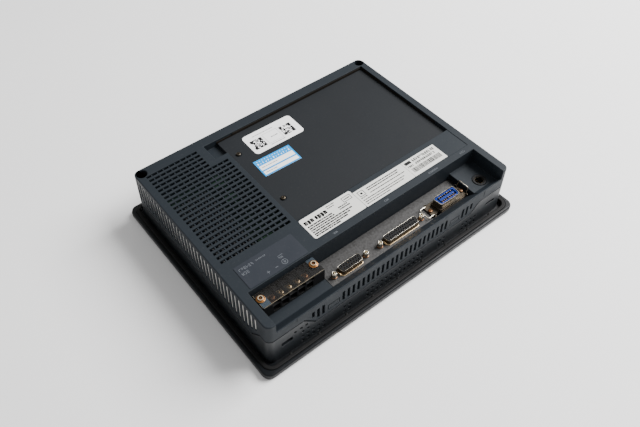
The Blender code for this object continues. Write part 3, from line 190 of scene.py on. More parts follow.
def plastic(name, colour, roughness, grain=1600.0, depth=0.03, mottle=0.08, dust=0.06, specular=0.16):
    """Moulded plastic: a fine satin grain, slow changes of tone, and a little dust."""
    paint = Paint(name, roughness)
    base = paint.mix(paint.noise(18.0, 4.0), tint(colour, 1 - mottle), tint(colour, 1 + mottle))
    fluff = paint.scaled(paint.noise(420.0, 8.0, rough=0.7), 0.56, 0.74, 0.0, dust)
    paint.colour(paint.mix(fluff, base, (0.20, 0.195, 0.18)))
    grains = paint.noise(grain, 2.0)
    paint.roughness(paint.scaled(paint.noise(60.0, 5.0), 0.3, 0.7, roughness - 0.05, roughness + 0.07))
    paint.bump(grains, depth)
    paint.shader.inputs["Specular IOR Level"].default_value = specular
    return paint.material


def metal(name, colour, roughness, stain, streak=(1.0, 1.0, 1.0), amount=0.5, depth=0.01, patch=90.0):
    """Bare or plated metal with stains of another tone and faint drawing lines."""
    paint = Paint(name, roughness, 1.0)
    patches = paint.scaled(paint.noise(patch, 6.0, rough=0.65), 0.42, 0.68, 0.0, amount)
    paint.colour(paint.mix(patches, colour, stain))
    lines = paint.noise(700.0, 3.0, streak)
    paint.roughness(paint.scaled(lines, 0.3, 0.7, max(roughness - 0.09, 0.06), roughness + 0.1))
    paint.bump(lines, depth)
    return paint.material


def clear_sheet(name, colour, alpha):
    """Clear plastic with fine scratches and a faint haze."""
    paint = Paint(name, 0.08)
    haze = paint.noise(35.0, 5.0)
    paint.colour(paint.mix(haze, tint(colour, 0.85), colour))
    paint.link(paint.scaled(haze, 0.3, 0.7, alpha - 0.05, alpha + 0.07), paint.shader.inputs["Alpha"])
    scratches = paint.noise(120.0, 4.0)
    paint.roughness(paint.scaled(scratches, 0.45, 0.75, 0.28, 0.36))
    paint.shader.inputs["Specular IOR Level"].default_value = 0.6
    return paint.material


def circuit_board(name):
    """Green solder mask over copper tracks."""
    paint = Paint(name, 0.4)
    tracks = paint.scaled(paint.noise(160.0, 1.0, (1.0, 0.12, 1.0)), 0.50, 0.53, 0.0, 1.0)
    paint.colour(paint.mix(tracks, (0.005, 0.030, 0.012), (0.009, 0.055, 0.020)))
    paint.bump(tracks, 0.03)
    paint.roughness(paint.scaled(paint.noise(50.0), 0.3, 0.7, 0.3, 0.48))
    return paint.material


def screen_glass(name):
    """A dark display under a thin glossy touch film."""
    paint = Paint(name, 0.10)
    paint.colour(paint.mix(paint.noise(9.0, 2.0), (0.010, 0.012, 0.014), (0.020, 0.023, 0.026)))
    paint.roughness(paint.scaled(paint.noise(30.0, 6.0), 0.35, 0.75, 0.07, 0.18))
    paint.shader.inputs["Coat Weight"].default_value = 0.6
    paint.shader.inputs["Coat Roughness"].default_value = 0.05
    return paint.material


PAINTS = {
    "housing": plastic("housing", (0.0130, 0.0170, 0.0216), 0.50),
    "case": plastic("case", (0.0125, 0.0148, 0.0175), 0.38, specular=0.34),
    "flange": plastic("flange", (0.0058, 0.0068, 0.0082), 0.38),
    "lid": plastic("lid", (0.0100, 0.0116, 0.0138), 0.58, grain=2200.0, depth=0.02, dust=0.04),
    "rubber": plastic("rubber", (0.0052, 0.0052, 0.0054), 0.62, grain=900.0, depth=0.05, dust=0.05),
    "black": plastic("black", (0.0062, 0.0062, 0.0066), 0.42, dust=0.03),
    # painted shade for the back and right walls of the bay
    "painted_wall_shade": plastic("painted_wall_shade", (0.0085, 0.0062, 0.0042), 0.8, grain=700.0, depth=0.08, dust=0.02),
    "blue": plastic("blue", (0.001, 0.020, 0.17), 0.40, dust=0.0),
    "paper": plastic("paper", (0.66, 0.66, 0.63), 0.55, grain=3000.0, depth=0.008, mottle=0.03, dust=0.03),
    "white_paper": plastic("white_paper", (0.90, 0.90, 0.90), 0.45, grain=3000.0, depth=0.008, mottle=0.02,
                           dust=0.02),
    "film": plastic("film", (0.0215, 0.0250, 0.0320), 0.42, grain=2600.0, depth=0.01, mottle=0.04),
    "ink": plastic("ink", (0.008, 0.008, 0.009), 0.5, depth=0.005, dust=0.1),
    "pale_ink": plastic("pale_ink", (0.13, 0.14, 0.155), 0.5, depth=0.005, dust=0.05),
    "grey_ink": plastic("grey_ink", (0.20, 0.20, 0.21), 0.5, depth=0.005, dust=0.05),
    # a pale colour that paints the highlights on the terminal cover's cut edges and on the cover screws' rims
    "painted_edge_highlight": plastic("painted_edge_highlight", (0.36, 0.31, 0.22), 0.3, depth=0.005, dust=0.3),
    "blue_ink": plastic("blue_ink", (0.0015, 0.27, 0.66), 0.5, depth=0.005, dust=0.05),
    "white": plastic("white", (0.70, 0.70, 0.68), 0.4, dust=0.03),
    "ribbon": plastic("ribbon", (0.42, 0.22, 0.06), 0.4, grain=400.0),
    "steel": metal("steel", (0.076, 0.075, 0.075), 0.60, (0.040, 0.039, 0.038), (1.0, 14.0, 1.0), 0.9, patch=420.0),
    "zinc": metal("zinc", (0.36, 0.34, 0.30), 0.24, (0.16, 0.12, 0.07)),
    "gold": metal("gold", (0.36, 0.27, 0.16), 0.28, (0.20, 0.12, 0.06), amount=0.7),
    "brass": metal("brass", (0.36, 0.17, 0.06), 0.30, (0.14, 0.05, 0.02), amount=0.8),
    "pale_metal": metal("pale_metal", (0.72, 0.68, 0.58), 0.26, (0.42, 0.34, 0.22), amount=0.4),
    "dull_gold": metal("dull_gold", (0.13, 0.095, 0.055), 0.30, (0.05, 0.032, 0.018), amount=0.8),
    "dark_metal": metal("dark_metal", (0.050, 0.044, 0.036), 0.40, (0.11, 0.085, 0.055), amount=0.5),
    "rust": metal("rust", (0.13, 0.055, 0.025), 0.42, (0.30, 0.19, 0.11), amount=0.7),
    "shield": metal("shield", (0.84, 0.825, 0.79), 0.5, (0.52, 0.50, 0.46), (1.0, 12.0, 1.0)),
    "aluminium": metal("aluminium", (0.16, 0.163, 0.167), 0.42, (0.10, 0.10, 0.10), (12.0, 1.0, 1.0)),
    "clear": clear_sheet("clear", (0.014, 0.013, 0.012), 0.28),
    "clear_tab": clear_sheet("clear_tab", (0.06, 0.085, 0.11), 0.34),
    "board": circuit_board("board"),
    "glass": screen_glass("glass"),
}


# ---------------------------------------------------------------- outlines and bodies

def round_rect(left, right, front, back, radius, steps=6):
    """Points round a rectangle with round corners, anticlockwise."""
    points = []
    corners = ((right - radius, back - radius, 0), (left + radius, back - radius, 90),
               (left + radius, front + radius, 180), (right - radius, front + radius, 270))
    for x, y, start in corners:
        for step in range(steps + 1):
            angle = math.radians(start + 90 * step / steps)
            points.append((x + radius * math.cos(angle), y + radius * math.sin(angle)))
    return points


def circle(x, y, radius, steps=28, turn=0.0):
    angles = [2 * math.pi * i / steps + turn for i in range(steps)]
    return [(x + radius * math.cos(angle), y + radius * math.sin(angle)) for angle in angles]


def d_shape(x, y, half_back, half_front, half_height, radius, steps=6):
    """A D-shaped socket's outline: wide at the back, narrow at the front."""
    corners = (Vector((half_back, half_height)), Vector((-half_back, half_height)),
               Vector((-half_front, -half_height)), Vector((half_front, -half_height)))
    points = []
    for i, corner in enumerate(corners):
        before = (corners[i - 1] - corner).normalized()
        after = (corners[(i + 1) % 4] - corner).normalized()
        half_angle = before.angle(after) / 2
        centre = corner + (before + after).normalized() * (radius / math.sin(half_angle))
        start = corner + before * (radius / math.tan(half_angle)) - centre
        sweep = math.pi - 2 * half_angle
        for step in range(steps + 1):
            turned = Matrix.Rotation(sweep * step / steps, 2) @ start
            points.append((x + centre.x + turned.x, y + centre.y + turned.y))
    return points


def at_height(outline, z):
    return [(x, y, z) for x, y in outline]


def loft(mesh, rings, closed=True):
    """A body through rings that have the same number of points each."""
    loops = [[mesh.verts.new(Vector(point) * MM) for point in ring] for ring in rings]
    for lower, upper in zip(loops, loops[1:]):
        for i in range(len(lower)):
            j = (i + 1) % len(lower)
            mesh.faces.new((lower[i], lower[j], upper[j], upper[i]))
    if closed:
        mesh.faces.new(list(reversed(loops[0])))
        mesh.faces.new(loops[-1])


def prism(mesh, outline, low, high, axis="Z"):
    place = {"Z": lambda p, d: (p[0], p[1], d), "Y": lambda p, d: (p[0], d, p[1]), "X": lambda p, d: (d, p[0], p[1])}
    loft(mesh, [[place[axis](point, depth) for point in outline] for depth in (low, high)])


def block(mesh, left, right, front, back, bottom, top):
    prism(mesh, [(left, front), (right, front), (right, back), (left, back)], bottom, top)


def turned(mesh, x, y, levels, steps=28, turn=0.0):
    """A round body along Z from (z, radius) pairs."""
    loft(mesh, [at_height(circle(x, y, radius, steps, turn), z) for z, radius in levels])


def band(mesh, profile, outline_at):
    """A closed frame: outline_at(grow) gives each outline, and profile lists (grow, z) round the section."""
    loops = [[mesh.verts.new(Vector((x, y, z)) * MM) for x, y in outline_at(grow)] for grow, z in profile]
    count = len(loops[0])
    for k, loop in enumerate(loops):
        following = loops[(k + 1) % len(loops)]
        for i in range(count):
            j = (i + 1) % count
            mesh.faces.new((loop[i], loop[j], following[j], following[i]))


def tube(mesh, path, radius):
    """A round wire along a path of points."""
    angles = [math.pi * side / 6 for side in range(12)]
    points = [Vector(point) for point in path]
    across = None
    rings = []
    for i, point in enumerate(points):
        before = (point - points[i - 1]).normalized() if i else (points[1] - point).normalized()
        after = (points[i + 1] - point).normalized() if i + 1 < len(points) else before
        along = (before + after).normalized()
        if across is None:
            across = along.orthogonal().normalized()
        across = (across - along * across.dot(along)).normalized()
        up = along.cross(across)
        rings.append([point + (across * math.cos(a) + up * math.sin(a)) * radius for a in angles])
    loft(mesh, rings)


def solid(shape, *sizes, **words):
    """A new mesh that holds one shape."""
    mesh = bmesh.new()
    shape(mesh, *sizes, **words)
    return mesh


def to_mesh(name, mesh):
    bmesh.ops.recalc_face_normals(mesh, faces=mesh.faces)
    data = bpy.data.meshes.new(name)
    mesh.to_mesh(data)
    mesh.free()
    return data


def carve(thing, tool_mesh, operation="DIFFERENCE"):
    """Cuts a body out of a thing, or joins one to it, and keeps the result as its mesh."""
    tool = bpy.data.objects.new("tool", to_mesh("tool", tool_mesh))
    bpy.context.scene.collection.objects.link(tool)
    modifier = thing.modifiers.new("carve", "BOOLEAN")
    modifier.operation = operation
    modifier.solver = "EXACT"
    modifier.object = tool
    bpy.context.view_layer.update()
    result = bpy.data.meshes.new_from_object(thing.evaluated_get(bpy.context.evaluated_depsgraph_get()))
    thing.modifiers.clear()
    thing.data = result
    bpy.data.objects.remove(tool, do_unlink=True)


def blank(name, mesh):
    thing = bpy.data.objects.new(name, to_mesh(name, mesh))
    bpy.context.scene.collection.objects.link(thing)
    return thing


def tidy(thing, flat=0.6):
    """Merges the crumbs that cuts leave, so that the edges bevel cleanly."""
    mesh = bmesh.new()
    mesh.from_mesh(thing.data)
    bmesh.ops.remove_doubles(mesh, verts=mesh.verts, dist=0.004 * MM)
    if flat:
        bmesh.ops.dissolve_limit(mesh, angle_limit=math.radians(flat), verts=mesh.verts, edges=mesh.edges)
    mesh.to_mesh(thing.data)
    mesh.free()


def soften(thing, width, segments=2):
    modifier = thing.modifiers.new("edges", "BEVEL")
    modifier.width = width * MM
    modifier.segments = segments
    modifier.limit_method = "ANGLE"
    modifier.angle_limit = math.radians(38.0)
    modifier.use_clamp_overlap = False
    thing.modifiers.new("even_shading", "WEIGHTED_NORMAL").keep_sharp = True


def dress(thing, paint, slot, body="panel", replaces=(), edge=0.0, smooth=32.0):
    """Gives a thing its material, soft edges, shading and body, and says which CAD nodes it stands for; the slot
    argument is not used.
    """
    thing.data.materials.clear()
    thing.data.materials.append(PAINTS[paint])
    thing.data.shade_smooth()
    thing.data.set_sharp_from_angle(angle=math.radians(smooth))
    if edge:
        soften(thing, edge)
    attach(thing, body)
    if replaces:
        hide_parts(*replaces)
    return thing


def piece(name, mesh, paint, slot, **words):
    return dress(blank(name, mesh), paint, slot, **words)


# ---------------------------------------------------------------- bezel and gasket

def window_outline(grow, radius, steps):
    return round_rect(-WINDOW_HALF_WIDTH - grow, WINDOW_HALF_WIDTH + grow,
                      -WINDOW_HALF_HEIGHT - grow, WINDOW_HALF_HEIGHT + grow, radius, steps)


def rim_outline(grow):
    return round_rect(RIM_LEFT - grow, RIM_RIGHT + grow, RIM_FRONT - grow, RIM_BACK + grow, 6.0 + grow, 10)


def build_bezel():
    """A rounded slab with the screen's window, a tray for the case, the gasket's seat and the lamp's hole."""
    half_width, half_height = BEZEL[1], BEZEL[3]
    levels = ((0.0, 1.7), (0.25, 0.95), (0.8, 0.3), (1.6, 0.0), (5.4, 0.0), (6.2, 0.25), (6.75, 0.8), (7.0, 1.5))
    rings = [at_height(round_rect(inset - half_width, half_width - inset, inset - half_height, half_height - inset,
                                  8.2 - inset, 12), z) for z, inset in levels]
    bezel = blank("bezel_frame", solid(loft, rings))
    rings = [at_height(window_outline(grow, 1.0 + grow / 2, 5), z)
             for z, grow in ((-0.5, 3.6), (0.0, 3.2), (1.3, 0.0), (4.0, 0.0))]
    carve(bezel, solid(loft, rings))
    carve(bezel, solid(prism, rim_outline(0.0), 2.0, 10.0))
    carve(bezel, solid(prism, rim_outline(4.6), 5.2, 10.0))
    carve(bezel, solid(prism, circle(*middle("status_lens"), 1.8, 20), -1, 4))
    groove = ((9.0, -1.0), (9.0, 0.22), (9.8, 0.22), (9.8, -1.0))
    carve(bezel, solid(band, groove, lambda grow: window_outline(grow, 4.0, 6)))
    tidy(bezel)
    dress(bezel, "flange", "housing", replaces=("front_bezel",), edge=0.25)


def build_gasket():
    """A ribbed rubber ring with small pips along its inner edge."""
    low, high = GASKET[4], GASKET[5]
    profile = ((0.3, low), (4.3, low), (4.3, high - 0.7), (3.9, high - 0.2), (3.2, high), (2.6, high - 0.12),
               (2.0, high - 0.12), (1.4, high), (0.7, high - 0.2), (0.3, high - 0.7))
    mesh = solid(band, profile, rim_outline)
    pip = ((high - 1.6, 1.5), (high - 0.5, 1.5), (high - 0.1, 1.0))
    for i in range(-4, 5):
        for y in (RIM_FRONT - 0.2, RIM_BACK + 0.2):
            turned(mesh, i * PIP_PITCH, y, pip, 16)
    for i in range(-3, 4):
        for x in (RIM_LEFT - 0.2, RIM_RIGHT + 0.2):
            turned(mesh, x, i * PIP_PITCH, pip, 16)
    piece("flange_gasket", mesh, "rubber", "rubber", replaces=("gasket",), smooth=50.0)


def build_screen():
    piece("touch_glass", solid(block, *span("touch_panel")), "glass", "glass", replaces=("touch_panel",), edge=0.3)
    left, right, _, _, bottom, top = span("status_lens")
    radius = (right - left) / 2
    levels = ((bottom, radius * 0.55), (bottom + 0.15, radius * 0.85), (bottom + 0.5, radius), (top, radius))
    piece("lamp_lens", solid(turned, *middle("status_lens"), levels), "white", "white", replaces=("status_lens",))


# ---------------------------------------------------------------- casing

def body_outline(z, inset=0.0):
    """The casing's outline at a height; it widens a little towards the bezel."""
    spread = DRAFT * (BODY_TOP - z) / (BODY_TOP - BODY_BOTTOM) - inset
    outline = round_rect(BODY_LEFT - spread, BODY_RIGHT + spread, BODY_FRONT - spread,
                         BODY_BACK + min(spread, 0.4), BODY_CORNER + spread, 12)
    return at_height(outline, z)


def tower(mesh, side, foot, head, top, curved, grow, clear=None):
    """The corner where the front case rises: its edge climbs from foot to head."""
    steps = 8
    rings = []
    for step in range(-1, steps + 1):
        part = max(step, 0) / steps
        z = PARTING + (top - PARTING) * part if step >= 0 else PARTING - 2
        run = 0.5 - math.sin(math.asin(1 - 2 * part) / 3) if curved else part
        inner_x = side * (foot + (head - foot) * run - grow)
        inner_y = TOWER_FOOT_Y + (TOWER_HEAD_Y - TOWER_FOOT_Y) * part + grow
        if clear == "front":
            inner_y = BODY_FRONT + WALL + grow
        if clear == "side":
            inner_x = (BODY_LEFT + WALL if side < 0 else BODY_RIGHT - WALL) - side * grow
        left, right = sorted((side * 160.0, inner_x))
        rings.append(at_height([(left, -125.0), (right, -125.0), (right, inner_y), (left, inner_y)], z + grow))
    loft(mesh, rings)


def towers(grow, clear=None):
    mesh = bmesh.new()
    for corner in TOWERS:
        tower(mesh, *corner, grow, clear)
    return mesh


def build_front_case():
    case = blank("front_case_shell", solid(loft, [body_outline(BODY_BOTTOM), body_outline(40.0)]))
    hollow = round_rect(BODY_LEFT + WALL, BODY_RIGHT - WALL, BODY_FRONT + WALL, BODY_BACK - WALL, 3.7, 6)
    carve(case, solid(prism, hollow, 4.8, 50))
    carve(case, solid(block, BODY_LEFT + 9, BODY_RIGHT - 9, BODY_FRONT + 7, BODY_BACK - 9, 0, 6))
    above = blank("above", solid(block, -165, 165, -130, 130, PARTING, 60))
    carve(above, towers(0.0))
    cutter = bmesh.new()
    cutter.from_mesh(above.data)
    bpy.data.objects.remove(above, do_unlink=True)
    carve(case, cutter)
    carve(case, case_holes())
    bosses = bmesh.new()
    for x, y in CORNER_SCREWS:
        turned(bosses, x, y, ((4.0, 5.5), (PARTING - 2, 5.5)))
    carve(case, bosses, "UNION")
    tidy(case)
    dress(case, "case", "housing", replaces=("front_case",), edge=0.22)


def case_holes():
    """Two rows of square holes low in the front wall, blind ones beside the left tower, and two clamp windows."""
    mesh = bmesh.new()

    def square(x, z, half, depth):
        block(mesh, x - half, x + half, BODY_FRONT - 3, BODY_FRONT + depth, z - half, z + half)

    for start, count in HOLE_GROUPS:
        for i in range(count):
            for z in (6.2, 13.2):
                square(start + i * SLOT_PITCH, z, 1.35, 4)
    for x, z in ((-110.6, 20.6), (-104.9, 20.6), (-112.6, 27.6), (-106.8, 27.6), (-119.0, 27.6)):
        square(x, z, 1.25, 1.6)
    for left, right, top in ((-134.0, -122.0, 24.0), (124.0, 136.0, 22.5)):
        block(mesh, left, right, BODY_FRONT - 3, BODY_FRONT + 4, 19.0, top)
    return mesh


def cavity_profile():
    return [
        (BODY_FRONT + WALL, PARTING - 5), (BODY_FRONT + WALL, SILL_TOP - 5.5), (RAMP_FOOT_Y - 0.3, WELL_UNDERSIDE),
        (WELL_BACK + WALL, WELL_UNDERSIDE), (WELL_BACK + WALL, BODY_TOP - WALL), (BODY_BACK - WALL, BODY_TOP - WALL),
        (BODY_BACK - WALL, PARTING - 5),
    ]


def build_rear_cover():
    rings = [body_outline(PARTING + SEAM), body_outline(30.0), body_outline(BODY_TOP - BODY_EDGE)]
    for step in range(1, 6):
        angle = math.radians(90 * step / 5)
        rings.append(body_outline(BODY_TOP - BODY_EDGE * (1 - math.sin(angle)), BODY_EDGE * (1 - math.cos(angle))))
    cover = blank("rear_cover_shell", solid(loft, rings))
    carve(cover, solid(prism, cavity_profile(), BODY_LEFT + WALL, BODY_RIGHT - WALL, "X"))
    left, right, front, back = BAY
    carve(cover, solid(block, left - WALL, right + WALL, front - WALL, back + WALL,
                       BAY_LEDGE_TOP - WALL, BODY_TOP - 2), "UNION")
    carve(cover, solid(block, FINGER_LEFT - WALL, left + 1, FINGER_FRONT - WALL, back + WALL + 0.2,
                       FINGER_FLOOR - WALL, BODY_TOP - 2.1), "UNION")
    columns = bmesh.new()
    for x, y in CORNER_SCREWS:
        turned(columns, x, y, ((PARTING + SEAM + 0.2, 5.8), (BODY_TOP - 1.9, 5.8)))
    carve(cover, columns, "UNION")
    carve(cover, towers(SEAM, "front"))
    carve(cover, towers(SEAM, "side"))
    carve_well(cover)
    carve_bay(cover)
    carve(cover, vent_cuts())
    carve(cover, edge_cuts())
    tidy(cover, 0)
    dress(cover, "housing", "housing", replaces=("rear_cover",), edge=0.28)


def carve_well(cover):
    above, outside = BODY_TOP + 3, BODY_FRONT - 10
    front_edge = [(RAMP_HEAD_Y, SILL_TOP), (outside, SILL_TOP), (outside, above)]
    profile = [(WELL_BACK, above), (WELL_BACK, WELL_FLOOR), (RAMP_FOOT_Y, WELL_FLOOR)] + front_edge
    carve(cover, solid(prism, profile, WELL_LEFT, BLOCK_LEFT, "X"))
    profile = [(WELL_BACK, above), (WELL_BACK, BLOCK_TOP), (BLOCK_FRONT, BLOCK_TOP)] + front_edge
    carve(cover, solid(prism, profile, BLOCK_LEFT - 0.5, WELL_RIGHT, "X"))
    carve(cover, solid(block, PLATE[0] - 0.3, PLATE[1] + 0.3, RAMP_FOOT_Y, WELL_BACK, PLATE[4] - 0.3, WELL_FLOOR + 1))
    holes = bmesh.new()
    for name, _, _, _ in SOCKETS:
        left, right, front, back, _, _ = span(name + "_shell")
        block(holes, left - 0.6, right + 0.6, front - 0.8, back + 0.8, WELL_UNDERSIDE - 2, PLATE_TOP)
    left, right, front, back, _, _ = span("printer_bracket")
    block(holes, left, right, front + 0.6, back, WELL_UNDERSIDE - 2, PLATE_TOP)
    left, right, _, _, _, _ = span("tool_socket")
    tool = circle(*middle("tool_socket"), (right - left) / 2 + 0.3, 40)
    prism(holes, tool, WELL_UNDERSIDE - 2, BLOCK_TOP + 2)
    carve(cover, holes)


def carve_bay(cover):
    left, right, front, back = BAY
    carve(cover, solid(block, left, right, front, back, BAY_LEDGE_TOP, BODY_TOP + 2))
    cuts = solid(block, *BAY_OPENING, BAY_LEDGE_TOP - 5, BAY_LEDGE_TOP + 1)
    for x, y in COVER_SCREWS:
        turned(cuts, x, y, ((BAY_LEDGE_TOP - 5, 1.8), (BAY_LEDGE_TOP + 1, 1.8)), 16)
    carve(cover, cuts)
    inner = left + 0.7
    rings = [at_height([(edge, FINGER_FRONT), (inner, FINGER_FRONT), (inner, back), (edge, back)], z)
             for z, edge in ((FINGER_FLOOR, FINGER_LEFT + 4.0), (BODY_TOP + 1, FINGER_LEFT))]
    carve(cover, solid(loft, rings))
    seat = round_rect(left, right - 0.5, -62.0, front + 0.5, 1.0, 3)
    carve(cover, solid(prism, seat, BODY_TOP - 0.4, BODY_TOP + 2))


def vent_row(row):
    return VENT_FIRST_Y - row * VENT_PITCH


def vent_step():
    """The level where the vent grid becomes wider, at the back edge of its first long row."""
    return vent_row(SHORT_ROWS) + VENT_HEIGHT / 2


def side_slots():
    """The middle and the lower end of each upright slot in the left wall."""
    middles = [SIDE_SLOT_FIRST_Y - i * SIDE_SLOT_PITCH for i in range(SIDE_SLOT_COUNT)]
    return [(y, 27.0 + max(0.0, (-78.0 - y) * 0.75)) for y in middles]


def vent_cuts():
    """The opening under the vent grid, the slots of the front and left walls, two frames, and the screw holes."""
    back, front, step = VENT_FIRST_Y + VENT_HEIGHT / 2, vent_row(VENT_ROWS - 1) - VENT_HEIGHT / 2, vent_step()
    outline = [(VENT_LEFT, front), (VENT_RIGHT, front), (VENT_RIGHT, step), (VENT_SHORT_RIGHT, step),
               (VENT_SHORT_RIGHT, back), (VENT_LEFT, back)]
    mesh = solid(prism, outline, BODY_TOP - 6, BODY_TOP + 2)
    for x in FRONT_SLOTS:
        low = 31.5 if abs(x) > 97 else 26.5
        prism(mesh, round_rect(x - 1.4, x + 1.4, low, 39.5, 0.5, 3), BODY_FRONT - 3, BODY_FRONT + 3.5, "Y")
    for left, right in ((-83.0, -69.5), (69.7, 82.5)):
        for x0, x1, z0, z1 in ((left, right, 33.9, 34.5), (left, right, 27.5, 28.1),
                               (left, left + 0.6, 28.3, 33.7), (right - 0.6, right, 28.3, 33.7)):
            block(mesh, x0, x1, BODY_FRONT - 3, BODY_FRONT + 1.2, z0, z1)
    for y, low in side_slots():
        outline = round_rect(y - SIDE_SLOT_HALF, y + SIDE_SLOT_HALF, low, SIDE_SLOT_TOP, 0.5, 3)
        prism(mesh, outline, BODY_LEFT - 3, BODY_LEFT + 3, "X")
    for x, y in CORNER_SCREWS:
        turned(mesh, x, y, ((30.0, 5.0), (BODY_TOP - 0.6, 5.0), (BODY_TOP + 0.5, 6.1)), 40)
        turned(mesh, x, y, ((PARTING - 2, 2.1), (31.0, 2.1)), 16)
    return mesh


def edge_cuts():
    """Small notches in the right edge, step lines in the front wall, and the card door's opening."""
    mesh = bmesh.new()
    for front, back in ((72.0, 84.0), (-14.0, -1.0)):
        block(mesh, BODY_RIGHT - 1.3, BODY_RIGHT + 3, front, back, BODY_TOP - 1.6, BODY_TOP - 0.9)
    for x, low, high in ((-117.0, 42.0, 50.0), (116.0, 38.0, 46.0)):
        block(mesh, x - 0.25, x + 0.25, BODY_FRONT - 3, BODY_FRONT + 0.3, low, high)
    block(mesh, BODY_RIGHT - WALL - 2, BODY_RIGHT + 3, *DOOR_OPENING)
    return mesh


def build_grille():
    """The vent grid: long ribs, and lower bars that part each row into short slots."""
    ribs = bmesh.new()
    half = (VENT_PITCH - VENT_HEIGHT) / 2
    for row in range(VENT_ROWS - 1):
        y = vent_row(row) - VENT_PITCH / 2
        right = VENT_SHORT_RIGHT if row < SHORT_ROWS else VENT_RIGHT
        block(ribs, VENT_LEFT - 0.6, right + 0.6, y - half, y + half, BODY_TOP - 2.4, BODY_TOP - 0.02)
    piece("vent_ribs", ribs, "housing", "housing", edge=0.3)
    bars = bmesh.new()
    pitch = (VENT_RIGHT - VENT_LEFT + VENT_BAR) / VENT_COLUMNS
    front, back = vent_row(VENT_ROWS - 1) - VENT_HEIGHT / 2 - 0.6, vent_row(0) + VENT_HEIGHT / 2 + 0.6
    for i in range(1, VENT_COLUMNS):
        x = VENT_LEFT + i * pitch - VENT_BAR
        end = back if i < VENT_SHORT_COLUMNS else vent_step() + 0.6
        block(bars, x, x + VENT_BAR, front, end, BODY_TOP - 2.2, BODY_TOP - 0.95)
    piece("vent_bars", bars, "housing", "housing", edge=0.2)


def build_side_shield():
    """The bright metal lining that shows in the upright slots of the left wall."""
    mesh = bmesh.new()
    half = SIDE_SLOT_HALF + 0.02
    for y, low in side_slots():
        block(mesh, BODY_LEFT + 0.55, BODY_LEFT + 0.85, y - half, y + half, low - 0.02, SIDE_SLOT_TOP + 0.02)
    piece("side_shield", mesh, "shield", "aluminium")


def build_lid():
    left, right, front, back, bottom, top = LID
    lid = blank("expansion_lid", solid(prism, round_rect(left, right, front, back, 1.5, 5), bottom, top))
    cuts, seats = bmesh.new(), bmesh.new()
    for x, y in COVER_SCREWS:
        turned(cuts, x, y, ((bottom - 1, 1.8), (top + 1, 1.8)), 20)
        turned(seats, x, y, ((top - 0.35, 3.3), (top + 1, 3.3)), 32)
    block(cuts, -38.0, -34.0, front - 1, front + 1.6, bottom - 1, top + 1)
    carve(lid, cuts)
    carve(lid, seats)
    tidy(lid)
    dress(lid, "lid", "cover", replaces=("expansion_cover",), edge=0.3)


def build_bay_wall_shade():
    """Dark strips along the back and right walls of the bay, beside the lid: painted shade on those walls."""
    left, right, _, back = BAY
    low = BAY_LEDGE_TOP + 0.1
    mesh = solid(block, left + 20.0, right - 1.5, back - 0.8, back + 0.1, low, BAY_LEDGE_TOP + 4.4)
    block(mesh, left + 0.5, left + 19.7, back - 0.5, back + 0.1, low, BAY_LEDGE_TOP + 3.2)
    for start, end, tall in ((-15.5, 67.5, 4.0), (68.0, back - 1.0, 4.6)):
        block(mesh, right - 0.28, right + 0.1, start, end, low, BAY_LEDGE_TOP + tall)
    piece("bay_wall_shade", mesh, "painted_wall_shade", "rubber", edge=0.08)


def build_door():
    """The card door: a thin panel with a shallow field, grip ribs, and a hinge pin at its back end."""
    left, right, front, back, _, _ = span("cf_door")
    bottom, top = DOOR_OPENING[2] + 0.5, DOOR_OPENING[3] - 0.5
    door = blank("card_door_panel", solid(prism, round_rect(front, back, bottom, top, 0.6, 4), left, right, "X"))
    field = round_rect(front - 2, front + 5, bottom + 5.5, top - 5.5, 1.5, 5)
    cuts = solid(prism, field, right - 0.7, right + 2, "X")
    for i in range(6):
        y = back - 10.0 - i * 2.2
        block(cuts, right - 0.3, right + 1, y, y + 1.0, bottom + 3, top - 3)
    carve(door, cuts)
    levels = ((bottom - 1.5, 0.6), (bottom - 1.3, 0.7), (top + 1.3, 0.7), (top + 1.5, 0.6))
    carve(door, solid(turned, (left + right) / 2, back - 1.2, levels, 16), "UNION")
    tidy(door)
    dress(door, "housing", "housing", body="card_door", replaces=("cf_door",), edge=0.15)


# ---------------------------------------------------------------- fasteners

def build_screw(node, paint, slot, style, turn):
    """A domed screw with a cross recess; the ones in the terminal block hold a clamp plate."""
    left, right, _, _, bottom, top = span(node)
    x, y = middle(node)
    radius = (right - left) / 2
    shank = radius * 0.5
    seat = top - SCREW_HEADS[style]
    height = top - seat
    levels = [(bottom, shank * 0.7), (bottom + 1, shank), (seat, shank), (seat, radius * 0.97), (seat + 0.2, radius)]
    for step in range(1, 6):
        angle = math.radians(15 * step)
        levels.append((seat + height * (0.35 + 0.65 * math.sin(angle)), radius * (0.25 + 0.75 * math.cos(angle))))
    screw = blank(node + "_head", solid(turned, x, y, levels, 32))
    size, width = radius * 0.62, radius * 0.15
    for angle in (turn, turn + math.pi / 2):
        spin = Matrix.Rotation(angle, 2)
        rings = []
        for z, part in ((top - height * 0.75, 0.45), (top + 0.5, 1.05)):
            corners = ((-size * part, -width), (size * part, -width), (size * part, width), (-size * part, width))
            rings.append([(x + (spin @ Vector(c)).x, y + (spin @ Vector(c)).y, z) for c in corners])
        carve(screw, solid(loft, rings))
    dress(screw, paint, slot, replaces=(node,), edge=0.06, smooth=40.0)
    if style in ("terminal", "block"):
        plate = round_rect(x - 3.5, x + 3.5, y - 3.7, y + 3.7, 0.4, 3)
        piece(node + "_clamp", solid(prism, plate, seat - 0.28, seat - 0.02), paint, slot, edge=0.08)


def build_screws():
    turns = random.Random(7)
    groups = (
        ("corner_screw_{}", 2, "zinc", "zinc", "corner"), ("expansion_screw_{}", 2, "dark_metal", "brass", "small"),
        ("printer_screw_{}", 2, "rust", "brass", "small"), ("terminal_screw_{}", 3, "gold", "brass", "terminal"),
        ("block_screw_{}", 2, "rust", "zinc", "block"),
    )
    for pattern, count, paint, slot, style in groups:
        for i in range(1, count + 1):
            build_screw(pattern.format(i), paint, slot, style, turns.uniform(0, math.pi / 2))
    for i in (1, 2):
        build_cover_screw(f"cover_screw_{i}")


